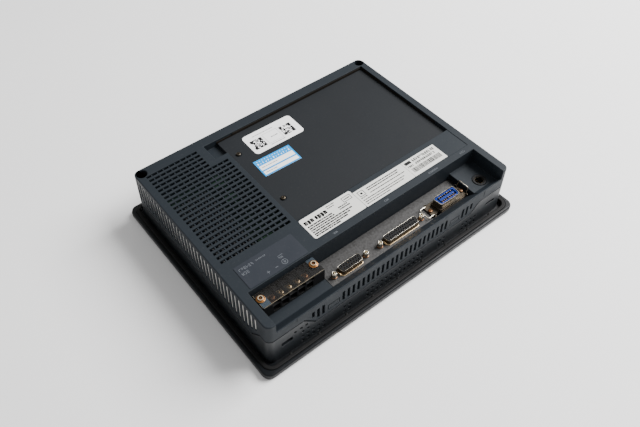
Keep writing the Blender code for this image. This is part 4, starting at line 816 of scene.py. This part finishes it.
def build_cover_screw(node):
    """A brass screw with a wide washer face and a hollow collar whose rim carries a painted highlight, a pale ring.
    """
    left, right, _, _, bottom, top = span(node)
    x, y = middle(node)
    radius = (right - left) / 2
    seat = top - 2.0
    levels = ((bottom, 1.2), (bottom + 1, 1.6), (seat, 1.6), (seat, radius - 0.15), (seat + 0.15, radius),
              (seat + 0.45, radius), (seat + 0.6, radius - 0.3), (seat + 0.62, 3.0), (seat + 0.8, 2.75),
              (top - 0.3, 2.7))
    screw = blank(node + "_turned", solid(turned, x, y, levels, 36))
    carve(screw, solid(turned, x, y, ((top - 1.8, 1.75), (top + 0.3, 1.85)), 28))
    dress(screw, "brass", "brass", replaces=(node,), edge=0.08, smooth=40.0)
    # a pale ring on the collar's rim: a painted highlight
    profile = ((0.0, top - 0.32), (0.66, top - 0.32), (0.68, top - 0.12), (0.5, top), (0.18, top), (0.0, top - 0.12))
    rim = solid(band, profile, lambda grow: circle(x, y, 1.86 + grow, 32))
    piece(node + "_rim", rim, "painted_edge_highlight", "brass", smooth=50.0)
    plug = blank(node + "_slot", solid(turned, x, y, ((top - 1.85, 1.6), (top - 1.3, 1.6), (top - 1.15, 1.4)), 20))
    carve(plug, solid(block, x - 4, x + 4, y - 0.3, y + 0.3, top - 1.6, top + 1))
    dress(plug, "rust", "brass", edge=0.05)


# ---------------------------------------------------------------- connector well

def screw_holes(mesh, x, y, out, low, high):
    """A pair of round holes, one on each side of a socket."""
    for side in (-1, 1):
        turned(mesh, x + side * out, y, ((low, 1.6), (high, 1.6)), 16)


def build_io_plate():
    left, right, front, back, bottom, top = PLATE
    plate = blank("io_plate_sheet", solid(prism, round_rect(left, right, front, back, 0.8, 4), bottom, top))
    low, high = bottom - 2, top + 2
    holes = bmesh.new()
    for name, half_back, half_front, _ in SOCKETS:
        x, y = middle(name + "_shell")
        prism(holes, d_shape(x, y, half_back + 0.5, half_front + 0.5, 4.7, 2.4), low, high)
        screw_holes(holes, x, y, half_back + SOCKET_SCREW_OUT, low, high)
    x, y = middle("printer_bracket")
    block(holes, x - 14, x + 14, y - 6.2, y + 6.2, low, high)
    screw_holes(holes, x, y, PRINTER_SCREW_OUT, low, high)
    carve(plate, holes)
    tidy(plate)
    dress(plate, "steel", "steel", replaces=("io_plate",), edge=0.2)


def build_d_socket(name, half_back, half_front, contacts):
    """A D-shaped socket: pressed shell with a bright rim, a fillet at its foot, dimples, and an insert with holes."""
    node, insert_node = name + "_shell", name + "_insert"
    x, y = middle(node)
    left, right, front, back, bottom, top = span(node)

    def outline(grow):
        return d_shape(x, y, half_back + grow, half_front + grow, 4.2 + grow, max(2.2 + grow, 1.2), 8)

    def across(count):
        return [x + (i - (count - 1) / 2) * CONTACT_PITCH for i in range(count)]

    flange = blank(name + "_flange", solid(prism, round_rect(left, right, front, back, 1.2, 4), bottom, bottom + 1.0))
    cuts = solid(prism, d_shape(x, y, half_back - 0.6, half_front - 0.6, 3.6, 1.6), bottom - 2, bottom + 3)
    screw_holes(cuts, x, y, half_back + SOCKET_SCREW_OUT, bottom - 2, bottom + 3)
    carve(flange, cuts)
    dress(flange, "gold", "zinc", edge=0.1)
    profile = ((-0.6, bottom + 0.9), (1.0, bottom + 1.2), (1.0, PLATE_TOP + 0.35), (0.45, PLATE_TOP + 0.6),
               (0.05, PLATE_TOP + 1.1), (0.0, PLATE_TOP + 1.8), (0.0, top - 1.0), (-0.6, top - 1.0))
    piece(name + "_tube", solid(band, profile, outline), "gold", "zinc", replaces=(node,), smooth=50.0)
    profile = ((-0.6, top - 1.05), (0.02, top - 1.05), (0.04, top - 0.3), (-0.12, top - 0.1), (-0.35, top - 0.1),
               (-0.6, top - 0.4))
    piece(name + "_rim", solid(band, profile, outline), "zinc", "zinc", smooth=60.0)
    dimples = bmesh.new()
    levels = ((PLATE_TOP + 1.2, 0.1), (PLATE_TOP + 1.7, 0.36), (top - 2.7, 0.36), (top - 2.3, 0.1))
    for px in across(int(2 * half_front / CONTACT_PITCH)):
        for edge in (-1, 1):
            turned(dimples, px, y + edge * 4.05, levels, 12)
    piece(name + "_dimples", dimples, "dull_gold", "zinc", smooth=60.0)
    low, high = span(insert_node)[4], top - 0.25
    core = d_shape(x, y, half_back - 0.95, half_front - 0.95, 3.25, 1.3, 6)
    insert = blank(name + "_insert_block", solid(prism, core, low, high))
    holes, pins = bmesh.new(), bmesh.new()
    for row, count in ((CONTACT_ROW, contacts), (-CONTACT_ROW, contacts - 1)):
        for px in across(count):
            turned(holes, px, y + row, ((high - 3, 0.62), (high - 0.25, 0.62), (high + 0.3, 1.0)), 12)
            turned(pins, px, y + row, ((high - 3.2, 0.45), (high - 1.2, 0.45), (high - 1.0, 0.35)), 10)
    carve(insert, holes)
    dress(insert, "black", "black", replaces=(insert_node,), edge=0.08)
    piece(name + "_contacts", pins, "gold", "brass", smooth=50.0)


def build_jack_posts():
    """Six-sided posts with a threaded bore, on brown washers."""
    for i in range(1, 5):
        node = f"jack_post_{i}"
        x, y = middle(node)
        _, _, _, _, bottom, top = span(node)
        levels = ((PLATE_TOP + 0.85, 2.75), (PLATE_TOP + 1.0, 2.8), (top - 0.5, 2.8), (top, 2.35))
        post = blank(f"jack_post_hex_{i}", solid(turned, x, y, levels, 6, math.radians(12 * i)))
        carve(post, solid(turned, x, y, ((bottom, 1.2), (PLATE_TOP + 0.9, 1.2)), 24), "UNION")
        carve(post, solid(turned, x, y, ((top - 4, 1.25), (top - 0.35, 1.3), (top + 0.2, 1.7)), 20))
        dress(post, "pale_metal", "zinc", replaces=(node,), edge=0.12)
        levels = ((PLATE_TOP + 0.32, 2.9), (PLATE_TOP + 0.4, 3.0), (PLATE_TOP + 0.72, 3.0), (PLATE_TOP + 0.83, 2.9))
        piece(f"jack_washer_{i}", solid(turned, x, y, levels), "rust", "zinc", smooth=50.0)


def build_printer_bracket():
    """The metal frame of the ribbon-type socket, with ears that hold the bails."""
    x, y = middle("printer_bracket")
    left, right, front, back, bottom, top = span("printer_bracket")
    plate = round_rect(left, right, front, back, 1.5, 5)
    bracket = blank("printer_bracket_plate", solid(prism, plate, bottom, bottom + 1.2))
    ears, pins = bmesh.new(), bmesh.new()
    for side in (-1, 1):
        pin_x = x + side * BAIL_PIN_OUT
        arc = [point for point in circle(pin_x, BAIL_PIN_Z, 1.35, 16) if point[1] > 38.0]
        arc = [(pin_x - 1.4, bottom + 0.9), (pin_x + 1.4, bottom + 0.9)] + sorted(arc, key=lambda p: -p[0])
        for edge in (-1, 1):
            near, far = sorted((y + edge * 6.9, y + edge * 7.9))
            prism(ears, arc, near, far, "Y")
        prism(pins, circle(pin_x, BAIL_PIN_Z, 0.8, 16), y - 12, y + 12, "Y")
    carve(bracket, ears, "UNION")
    carve(bracket, solid(prism, d_shape(x, y - 0.5, 16.0, 14.5, 6.8, 2.5), bottom + 0.9, 39.2), "UNION")
    cuts = solid(prism, d_shape(x, y, 13.4, 11.9, 5.05, 1.9), bottom - 2, top + 2)
    screw_holes(cuts, x, y, PRINTER_SCREW_OUT, bottom - 1, bottom + 2)
    carve(bracket, cuts)
    carve(bracket, pins)
    tidy(bracket)
    dress(bracket, "dark_metal", "zinc", replaces=("printer_bracket",), edge=0.18)


def build_printer_socket():
    """The ribbon-type socket's metal rim, and its blue insert with contacts in a groove."""
    build_printer_bracket()
    x, y = middle("printer_bracket")
    profile = ((-0.65, 36.9), (0.02, 36.9), (0.02, 43.4), (0.35, 43.9), (0.35, 44.6), (0.1, 45.0), (-0.45, 45.0),
               (-0.65, 44.7))
    rim = solid(band, profile, lambda grow: d_shape(x, y, 14.1 + grow, 12.6 + grow, 5.75 + grow, 2.5 + grow, 8))
    piece("printer_tube", rim, "zinc", "zinc", smooth=50.0)
    _, _, _, _, low, high = span("printer_insert")
    insert = blank("printer_insert_block", solid(prism, d_shape(x, y, 13.0, 11.5, 4.7, 1.6, 6), low, high))

    def groove(part):
        inset_x, inset_y = 1.4 * (1 - part), 2.1 * (1 - part)
        return round_rect(x - 11 + inset_x, x + 11 - inset_x, y - 3.4 + inset_y, y + 3.4 - inset_y,
                          0.5 + 0.5 * part, 3)

    carve(insert, solid(band, ((0.0, high - 6), (0.0, high + 1), (1.0, high + 1), (1.0, high - 6)), groove))
    dress(insert, "blue", "blue", replaces=("printer_insert",), edge=0.15)
    contacts = bmesh.new()
    for i in range(7):
        px = x + (i - 3) * 2.16 * 1.25
        for edge in (-1, 1):
            for inner, outer, down in ((1.3, 1.75, 0.5), (2.75, 3.4, 0.25)):
                near, far = sorted((y + edge * inner, y + edge * outer))
                block(contacts, px - 0.55, px + 0.55, near, far, high - 5.8, high - down)
    piece("printer_contacts", contacts, "gold", "brass", edge=0.12)


def bail_path():
    """Half of a bail lying flat, as (out, across), and its mirror image: an end, a bend, a leg, and a bend."""
    half, leg, pin, bend = 6.1, 8.0, 2.3, 1.0
    flat = [(0, half + pin)]
    flat += [(bend * (1 - math.cos(a)), half + bend * (1 - math.sin(a)) * 0.4) for a in (0.0, 0.5, 1.0, 1.57)]
    flat += [(leg - bend + bend * math.sin(a), half - bend + bend * math.cos(a))
             for a in (0.0, 0.4, 0.8, 1.2, 1.57)]
    return flat + [(out, -across) for out, across in reversed(flat)]


def build_bails():
    """Sprung wire loops with rounded bends and turned-out ends in the ears; the right one stands up."""
    x, y = middle("printer_bracket")
    for body, side, lift in (("bail_left", -1, 0.0), ("bail_right", 1, BAIL_RIGHT_LIFT)):
        pin_x, angle = x + side * BAIL_PIN_OUT, math.radians(lift)
        points = [(pin_x + side * out * math.cos(angle), y + across, BAIL_PIN_Z + out * math.sin(angle))
                  for out, across in bail_path()]
        node = "printer_" + body
        piece(node + "_wire", solid(tube, points, 0.5), "pale_metal", "steel", body=body, replaces=(node,),
              smooth=60.0)


def build_tool_socket():
    left, right, _, _, bottom, top = span("tool_socket")
    x, y = middle("tool_socket")
    radius = (right - left) / 2
    levels = ((bottom, radius), (top - 0.5, radius), (top - 0.15, radius - 0.15), (top, radius - 0.5))
    socket = blank("tool_socket_body", solid(turned, x, y, levels, 48))
    carve(socket, solid(turned, x, y, ((top - 6.0, 4.6), (top - 0.6, 4.6), (top + 0.3, 5.5)), 40))
    dress(socket, "black", "black", replaces=("tool_socket",), edge=0.1, smooth=40.0)
    profile = ((0.0, top - 6.0), (0.35, top - 6.0), (0.35, top - 1.2), (0.0, top - 1.2))
    ring = solid(band, profile, lambda grow: circle(x, y, 4.1 + grow, 40))
    piece("tool_socket_shield", ring, "dark_metal", "black", smooth=50.0)
    pins = bmesh.new()
    for i in range(8):
        angle = math.radians(60 + i * 240 / 7)
        reach = 2.6 if i % 2 else 1.5
        turned(pins, x + reach * math.cos(angle), y + reach * math.sin(angle),
               ((top - 6.0, 0.35), (top - 3.4, 0.35), (top - 3.1, 0.2)), 10)
    piece("tool_socket_pins", pins, "dull_gold", "brass", smooth=50.0)


def build_terminal_block():
    left, right, front, back, bottom, top = span("terminal_block")
    floor = top - 3.8
    unit = blank("terminal_block_body", solid(block, left, right, front, back, bottom, floor))
    ribs = solid(block, left, left + 9.2, front, back, floor - 1, top)
    block(ribs, right - 12.2, right, front, back, floor - 1, top)
    for i in range(4):
        x = TERMINAL_FIRST_X + (i + 0.5) * TERMINAL_PITCH
        block(ribs, x - 0.6, x + 0.6, front, back, floor - 1, top)
    carve(unit, ribs, "UNION")
    cuts = bmesh.new()
    for i in range(5):
        x = TERMINAL_FIRST_X + i * TERMINAL_PITCH
        prism(cuts, round_rect(x - 3.4, x + 3.4, 38.5, 45.4, 0.6, 3), front - 2, front + 5.5, "Y")
        turned(cuts, x, -80.6, ((40.0, 1.8), (floor + 1, 1.8)), 16)
    for node in ("cover_screw_1", "cover_screw_2"):
        turned(cuts, *middle(node), ((40.5, 2.0), (top + 2, 2.0)), 20)
    carve(unit, cuts)
    tidy(unit)
    dress(unit, "black", "black", replaces=("terminal_block",), edge=0.25)


def build_terminal_cover():
    """A clear sheet with two tinted corners, and pale strips that paint the highlights on its front and left cut
    edges.
    """
    left, right, front, back, bottom, top = span("terminal_cover")
    sheet = blank("terminal_cover_sheet", solid(prism, round_rect(left, right, front, back, 0.8, 4), bottom, top))
    holes = bmesh.new()
    for node in ("cover_screw_1", "cover_screw_2"):
        turned(holes, *middle(node), ((bottom - 2, 2.0), (top + 2, 2.0)), 24)
    carve(sheet, holes)
    dress(sheet, "clear", "clear", replaces=("terminal_cover",), edge=0.2)
    tabs = solid(block, left + 0.3, left + 8.4, front + 0.3, back - 7.0, top + 0.01, top + 0.08)
    block(tabs, right - 8.2, right - 0.2, front + 6.0, back - 0.2, top + 0.01, top + 0.08)
    piece("terminal_cover_tabs", tabs, "clear_tab", "clear")
    # pale strips along the front and left cut edges: painted highlights
    edges = solid(block, left + 0.8, right - 0.8, front - 0.02, front + 0.16, top - 0.45, top - 0.12)
    block(edges, left - 0.02, left + 0.16, front + 0.8, back - 0.8, top - 0.45, top - 0.12)
    piece("terminal_cover_edge_highlights", edges, "painted_edge_highlight", "clear")


# ---------------------------------------------------------------- labels and printed marks

def turn_about(mesh, x, y, degrees):
    centre = Vector((x, y, 0)) * MM
    bmesh.ops.rotate(mesh, verts=mesh.verts, cent=centre, matrix=Matrix.Rotation(math.radians(degrees), 3, "Z"))


def centre_of(area):
    left, right, front, back = area
    return (left + right) / 2, (front + back) / 2


def on_label(name, boxes, paint, slot, height, centre=(0.0, 0.0), turn=0.0, thickness=PRINT):
    """Thin printed shapes lying at a height; boxes are left, right, front, back."""
    mesh = bmesh.new()
    for left, right, front, back in boxes:
        block(mesh, left, right, front, back, height, height + thickness)
    if turn:
        turn_about(mesh, *centre, turn)
    return piece(name, mesh, paint, slot)


def strokes(chance, left, front, count, width, height, stroke, gap):
    """A row of made-up characters, each of a few thin strokes, that says nothing."""
    boxes = []
    for i in range(count):
        x = left + i * (width + gap)
        middle_y = front + height / 2 - stroke / 2
        parts = [(x, x + stroke, front, front + height), (x + width - stroke, x + width, front, front + height),
                 (x, x + width, front + height - stroke, front + height), (x, x + width, middle_y, middle_y + stroke),
                 (x, x + width, front, front + stroke)]
        kept = chance.sample(range(5), chance.choice((2, 3, 3, 4)))
        boxes += [parts[k] for k in kept]
    return boxes


def text_like(left, front, widths, height, gap=0.55):
    """A row of plain bars that stands for a printed line."""
    boxes = []
    x = left
    for width in widths:
        boxes.append((x, x + width, front, front + height))
        x += width + gap
    return boxes


def word_widths(chance, total, low=1.2, high=5.0, gap=0.55):
    """Random lengths of bars that fill a line of about the given total."""
    widths, used = [], 0.0
    while used < total - high:
        width = chance.uniform(low, high)
        widths.append(width)
        used += width + gap
    return widths


def frame_boxes(left, right, front, back, line):
    """The four sides of a plain printed frame."""
    return [(left, right, front, front + line), (left, right, back - line, back),
            (left, left + line, front + line, back - line), (right - line, right, front + line, back - line)]


def label_sheet(node, area, radius, paint, slot, turn=0.0):
    """A label's sheet with round corners; returns the height of its face."""
    _, _, _, _, bottom, top = span(node)
    mesh = solid(prism, round_rect(*area, radius, 5), bottom - 0.12, top)
    if turn:
        turn_about(mesh, *centre_of(area), turn)
    piece(node + "_sheet", mesh, paint, slot, replaces=(node,), edge=0.04)
    return top


def build_rating_label(chance):
    top = label_sheet("rating_label", (-57.6, 4.0, -60.8, -34.7), 2.0, "paper", "paper")
    dark = []
    headline = ((-55.3, 3.4), (-51.2, 2.6), (-48.0, 3.2), (-42.6, 2.4), (-39.6, 3.2), (-35.8, 2.8), (-32.4, 3.2))
    for x, width in headline:
        low = chance.choice((-43.4, -43.4, -44.4))
        dark += [(x, x + 1.8, low, -39.2), (x, x + width, -40.9, -39.4), (x + width - 1.2, x + width, -43.4, -40.0),
                 (x, x + width, -43.4, -42.2)]
    for y, length in ((-47.0, 30.0), (-49.5, 33.0), (-52.0, 52.0), (-54.5, 50.0), (-57.0, 42.0), (-59.2, 30.0)):
        dark += text_like(-55.0, y, word_widths(chance, length, 1.4, 5.5, 0.45), 1.5, 0.45)
    for y in (-45.6, -48.0):
        dark += text_like(-18.0, y, word_widths(chance, 16.0), 1.3, 0.45)
    for y, length in ((-37.6, 15.0), (-40.0, 13.0)):
        dark += text_like(-27.0, y, word_widths(chance, length), 0.9)
    dark += frame_boxes(-9.2, 1.2, -43.4, -37.6, 0.6) + [(-7.4, -0.6, -41.0, -40.0)]
    on_label("rating_label_print", dark, "ink", "paper", top)


def build_approval_label(chance):
    top = label_sheet("approval_label", (4.4, 67.0, -61.0, -39.2), 0.5, "paper", "paper")
    dark = text_like(6.6, -50.4, (2.2, 1.6, 2.6), 1.0)
    for y in (-43.4, -46.0):
        dark += text_like(18.5, y, word_widths(chance, 46.0, 1.6, 5.5), 1.2, 0.45)
    for x, y, length in ((18.5, -49.6, 47.0), (6.6, -53.6, 58.0), (6.6, -56.2, 56.0), (6.6, -58.8, 34.0)):
        dark += text_like(x, y, word_widths(chance, length), 1.0, 0.45)
    on_label("approval_label_print", dark, "ink", "paper", top)
    mark = frame_boxes(7.4, 14.6, -48.2, -41.4, 0.6) + [(9.8, 12.2, -45.9, -43.7)]
    on_label("approval_label_mark", mark, "ink", "paper", top)


def build_serial_label(chance):
    top = label_sheet("serial_label", (67.3, 111.8, -61.0, -39.2), 0.5, "paper", "paper")
    dark = [(69.3, 77.2, -45.0, -41.4)]
    for row in ((79.4, -44.9, 12, 1.85, 3.3, 0.8, 0.65), (69.6, -49.2, 4, 1.3, 2.1, 0.6, 0.5),
                (79.4, -49.2, 11, 1.8, 2.8, 0.7, 0.65)):
        dark += strokes(chance, *row)
    x = 70.5
    while x < 108.6:
        width = chance.choice((0.6, 0.6, 0.9, 1.3))
        dark.append((x, x + width, -57.0, -51.2))
        x += width + chance.choice((0.45, 0.45, 0.7))
    on_label("serial_label_print", dark, "ink", "paper", top)


def build_power_label(chance):
    """The terminals' label: made-up characters, and only a plus, a minus and the common earth sign."""
    top = label_sheet("power_label", (-134.5, -71.7, -68.3, -41.7), 0.8, "film", "film")
    pale = []
    for row in ((-131.6, -48.6, 6, 1.8, 2.9, 0.4, 0.7), (-131.6, -53.4, 3, 1.8, 2.9, 0.4, 0.7),
                (-114.0, -47.4, 7, 1.0, 1.5, 0.28, 0.55), (-96.4, -58.6, 2, 1.6, 2.2, 0.35, 0.7)):
        pale += strokes(chance, *row)
    pale += [(-96.4, -91.0, -55.2, -54.9)]
    pale += [(-113.7, -110.7, -63.95, -63.55), (-112.4, -112.0, -65.25, -62.25), (-104.8, -101.8, -63.95, -63.55)]
    pale += [(-95.7, -92.9, -63.2, -62.9), (-95.2, -93.4, -64.0, -63.7), (-94.7, -93.9, -64.8, -64.5)]
    pale += [(-94.45, -94.15, -62.9, -61.0)]
    on_label("power_label_print", pale, "pale_ink", "film", top)
    profile = ((0.0, top), (0.35, top), (0.35, top + PRINT), (0.0, top + PRINT))
    ring = solid(band, profile, lambda grow: circle(-94.3, -63.2, 2.5 + grow, 32))
    piece("power_label_ring", ring, "pale_ink", "film")


def build_labels():
    chance = random.Random(11)
    build_rating_label(chance)
    build_approval_label(chance)
    build_serial_label(chance)
    build_power_label(chance)
    marks = []
    for x, count in ((-41.5, 3), (21.5, 3), (80.0, 7), (124.0, 4)):
        marks += strokes(chance, x, -66.9, count, 1.3, 2.0, 0.3, 0.5)
    on_label("port_marks", marks, "pale_ink", "housing", BODY_TOP)
    build_asset_label()
    build_sticker()


def build_asset_label():
    """A white label with a patch of random squares on each side of a frame."""
    area, turn = (-34.4, 26.3, 61.4, 91.4), -1.0
    top = label_sheet("asset_label", area, 4.0, "white_paper", "paper", turn)
    dots = []
    cell, cells, border = 1.17, 12, 3
    marked = random.Random(5)
    for left, front in ((-30.9, 67.2), (5.6, 67.6)):
        for i in range(cells):
            for j in range(cells):
                corner = min(i, cells - 1 - i) < border and min(j, cells - 1 - j) < border
                if corner or marked.random() < 0.6:
                    dots.append((left + i * cell, left + (i + 1) * cell, front + j * cell, front + (j + 1) * cell))
    on_label("asset_label_dots", dots, "ink", "paper", top, centre_of(area), turn)
    lines = text_like(-24.0, 85.6, (3.0, 5.0, 2.4, 4.2, 3.0, 5.4), 0.8)
    lines += text_like(-14.0, 64.6, (4.4, 2.8, 5.2, 3.4), 0.8)
    lines += [(-14.6, 3.4, 67.0, 67.3), (-14.6, 3.4, 82.4, 82.7), (-14.6, -14.3, 67.0, 82.7), (3.1, 3.4, 67.0, 82.7)]
    lines += text_like(-8.0, 74.0, (2.4, 1.6, 3.2), 1.2)
    on_label("asset_label_lines", lines, "grey_ink", "paper", top, centre_of(area), turn)


def build_sticker():
    """A white sticker with a blue border and head, a pattern of small squares, and two printed lines."""
    area, turn = (-45.0, -1.5, 31.5, 55.0), -2.0
    top = label_sheet("inspection_sticker", area, 0.3, "white_paper", "paper", turn)
    left, right, front, back = area
    foot, head, side = front + 1.7, back - 8.6, 1.6
    blue = [(left, right, head, back), (left, right, front, foot), (left, right, 38.2, 40.0)]
    for low, high in ((foot, 38.2), (40.0, head)):
        blue += [(left, left + side, low, high), (right - side, right, low, high)]
    on_label("sticker_fields", blue, "blue_ink", "paper", top, centre_of(area), turn)
    dots = []
    for i in range(13):
        x = left + 2.2 + i * 3.1
        dots.append((x, x + (0.7 if i % 3 else 1.2), 48.2, 49.4 if i % 2 else 50.4))
        dots.append((x + 0.7, x + 1.5, 52.3, 53.2))
    on_label("sticker_pattern", dots, "white_paper", "paper", top + PRINT, centre_of(area), turn, 0.02)
    pale = text_like(left + 3.4, 43.0, (4.0, 2.2, 5.2, 3.0, 2.0), 0.9)
    pale += text_like(left + 3.4, 35.4, (5.0, 3.0, 4.2), 0.9)
    on_label("sticker_lines", pale, "grey_ink", "paper", top, centre_of(area), turn)


# ---------------------------------------------------------------- inside

INSIDE = {
    "aluminium": ("lcd_module", "heat_sink", "chassis_plate"),
    "ribbon": ("lcd_cable",),
    "board": ("backlight_inverter", "main_board", "power_board", "io_board"),
    "zinc": ("battery",),
    "black": ("expansion_connector", "cf_socket", "cf_eject_button"),
    "blue": ("dip_switch",),
    "white": ("dip_lever_1", "dip_lever_2", "dip_lever_3", "dip_lever_4"),
}


def dress_inside():
    """The CAD shapes inside keep their form, with a material and softened edges."""
    for paint, nodes in INSIDE.items():
        for node in nodes:
            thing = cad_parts[node]
            thing.data.materials.clear()
            thing.data.materials.append(PAINTS[paint])
            thing.modifiers.new("weld", "WELD").merge_threshold = WELD
            soften(thing, 0.12, 1)


# ---------------------------------------------------------------- studio

FLOOR_DARK, FLOOR_LIGHT = (0.87, 0.87, 0.875), (0.90, 0.90, 0.90)
FLOOR_Z, FLOOR_RADII, FLOOR_STEPS = -0.15, (50.0, 1000.0, 3000.0, 9000.0), 48
WORLD_COLOUR, WORLD_STRENGTH = (1.0, 0.995, 0.99, 1.0), 0.58
KEY_PLACE, KEY_AIM, KEY_SIDE = (1.50, -0.32, 1.50), (0.1, 0.0, 0.0), 1.4
KEY_POWER, KEY_COLOUR = 136.0, (1.0, 0.995, 0.99)

CAMERA_AZIMUTH, CAMERA_LOOK_DOWN, CAMERA_ROLL = 38.05, 47.94, -0.27
CAMERA_TARGET, CAMERA_DISTANCE = (-0.01014, 0.01538, 0.025), 0.69698
SENSOR_WIDTH, FOCAL_LENGTH = 36.0, 38.36
SHIFT_X, SHIFT_Y = 0.0236, -0.0358


def build_floor():
    mesh = bmesh.new()
    loft(mesh, [at_height(circle(0, 0, radius, FLOOR_STEPS), FLOOR_Z) for radius in FLOOR_RADII], closed=False)
    mesh.faces.new(list(mesh.verts)[:FLOOR_STEPS])
    floor = blank("studio_floor", mesh)
    paint = Paint("floor", 0.6)
    paint.colour(paint.mix(paint.noise(6.0, 4.0), FLOOR_DARK, FLOOR_LIGHT))
    paint.shader.inputs["Specular IOR Level"].default_value = 0.25
    floor.data.materials.append(paint.material)


def build_lights():
    """An even bright world, and one large soft light above the right side."""
    world = bpy.data.worlds.new("studio")
    bpy.context.scene.world = world
    world.use_nodes = True
    background = world.node_tree.nodes["Background"]
    background.inputs["Color"].default_value = WORLD_COLOUR
    background.inputs["Strength"].default_value = WORLD_STRENGTH
    data = bpy.data.lights.new("key_softbox", "AREA")
    data.shape = "RECTANGLE"
    data.size = data.size_y = KEY_SIDE
    data.energy = KEY_POWER
    data.color = KEY_COLOUR
    light = bpy.data.objects.new("key_softbox", data)
    light.location = KEY_PLACE
    light.rotation_euler = (Vector(KEY_AIM) - Vector(KEY_PLACE)).to_track_quat("-Z", "Y").to_euler()
    bpy.context.scene.collection.objects.link(light)


def build_camera():
    """The camera stands to the front left, above the panel, turned by its azimuth, look-down and roll."""
    azimuth, elevation, roll = (math.radians(a) for a in (CAMERA_AZIMUTH, CAMERA_LOOK_DOWN, CAMERA_ROLL))
    level = math.cos(elevation)
    forward = Vector((math.sin(azimuth) * level, math.cos(azimuth) * level, -math.sin(elevation)))
    right = Vector((math.cos(azimuth), -math.sin(azimuth), 0))
    up = right.cross(forward)
    turned_right = right * math.cos(roll) + up * math.sin(roll)
    turned_up = up * math.cos(roll) - right * math.sin(roll)
    data = bpy.data.cameras.new("camera")
    data.sensor_width = SENSOR_WIDTH
    data.lens = FOCAL_LENGTH
    data.shift_x, data.shift_y = SHIFT_X, SHIFT_Y
    data.clip_start = 0.01
    camera = bpy.data.objects.new("camera", data)
    place = Matrix.Translation(Vector(CAMERA_TARGET) - forward * CAMERA_DISTANCE)
    camera.matrix_world = place @ Matrix((turned_right, turned_up, -forward)).transposed().to_4x4()
    bpy.context.scene.collection.objects.link(camera)
    bpy.context.scene.camera = camera


build_bezel()
build_gasket()
build_screen()
build_front_case()
build_rear_cover()
build_grille()
build_side_shield()
build_lid()
build_bay_wall_shade()
build_door()
build_screws()
build_io_plate()
for socket in SOCKETS:
    build_d_socket(*socket)
build_jack_posts()
build_printer_socket()
build_bails()
build_tool_socket()
build_terminal_block()
build_terminal_cover()
build_labels()
dress_inside()
build_floor()
build_lights()
build_camera()
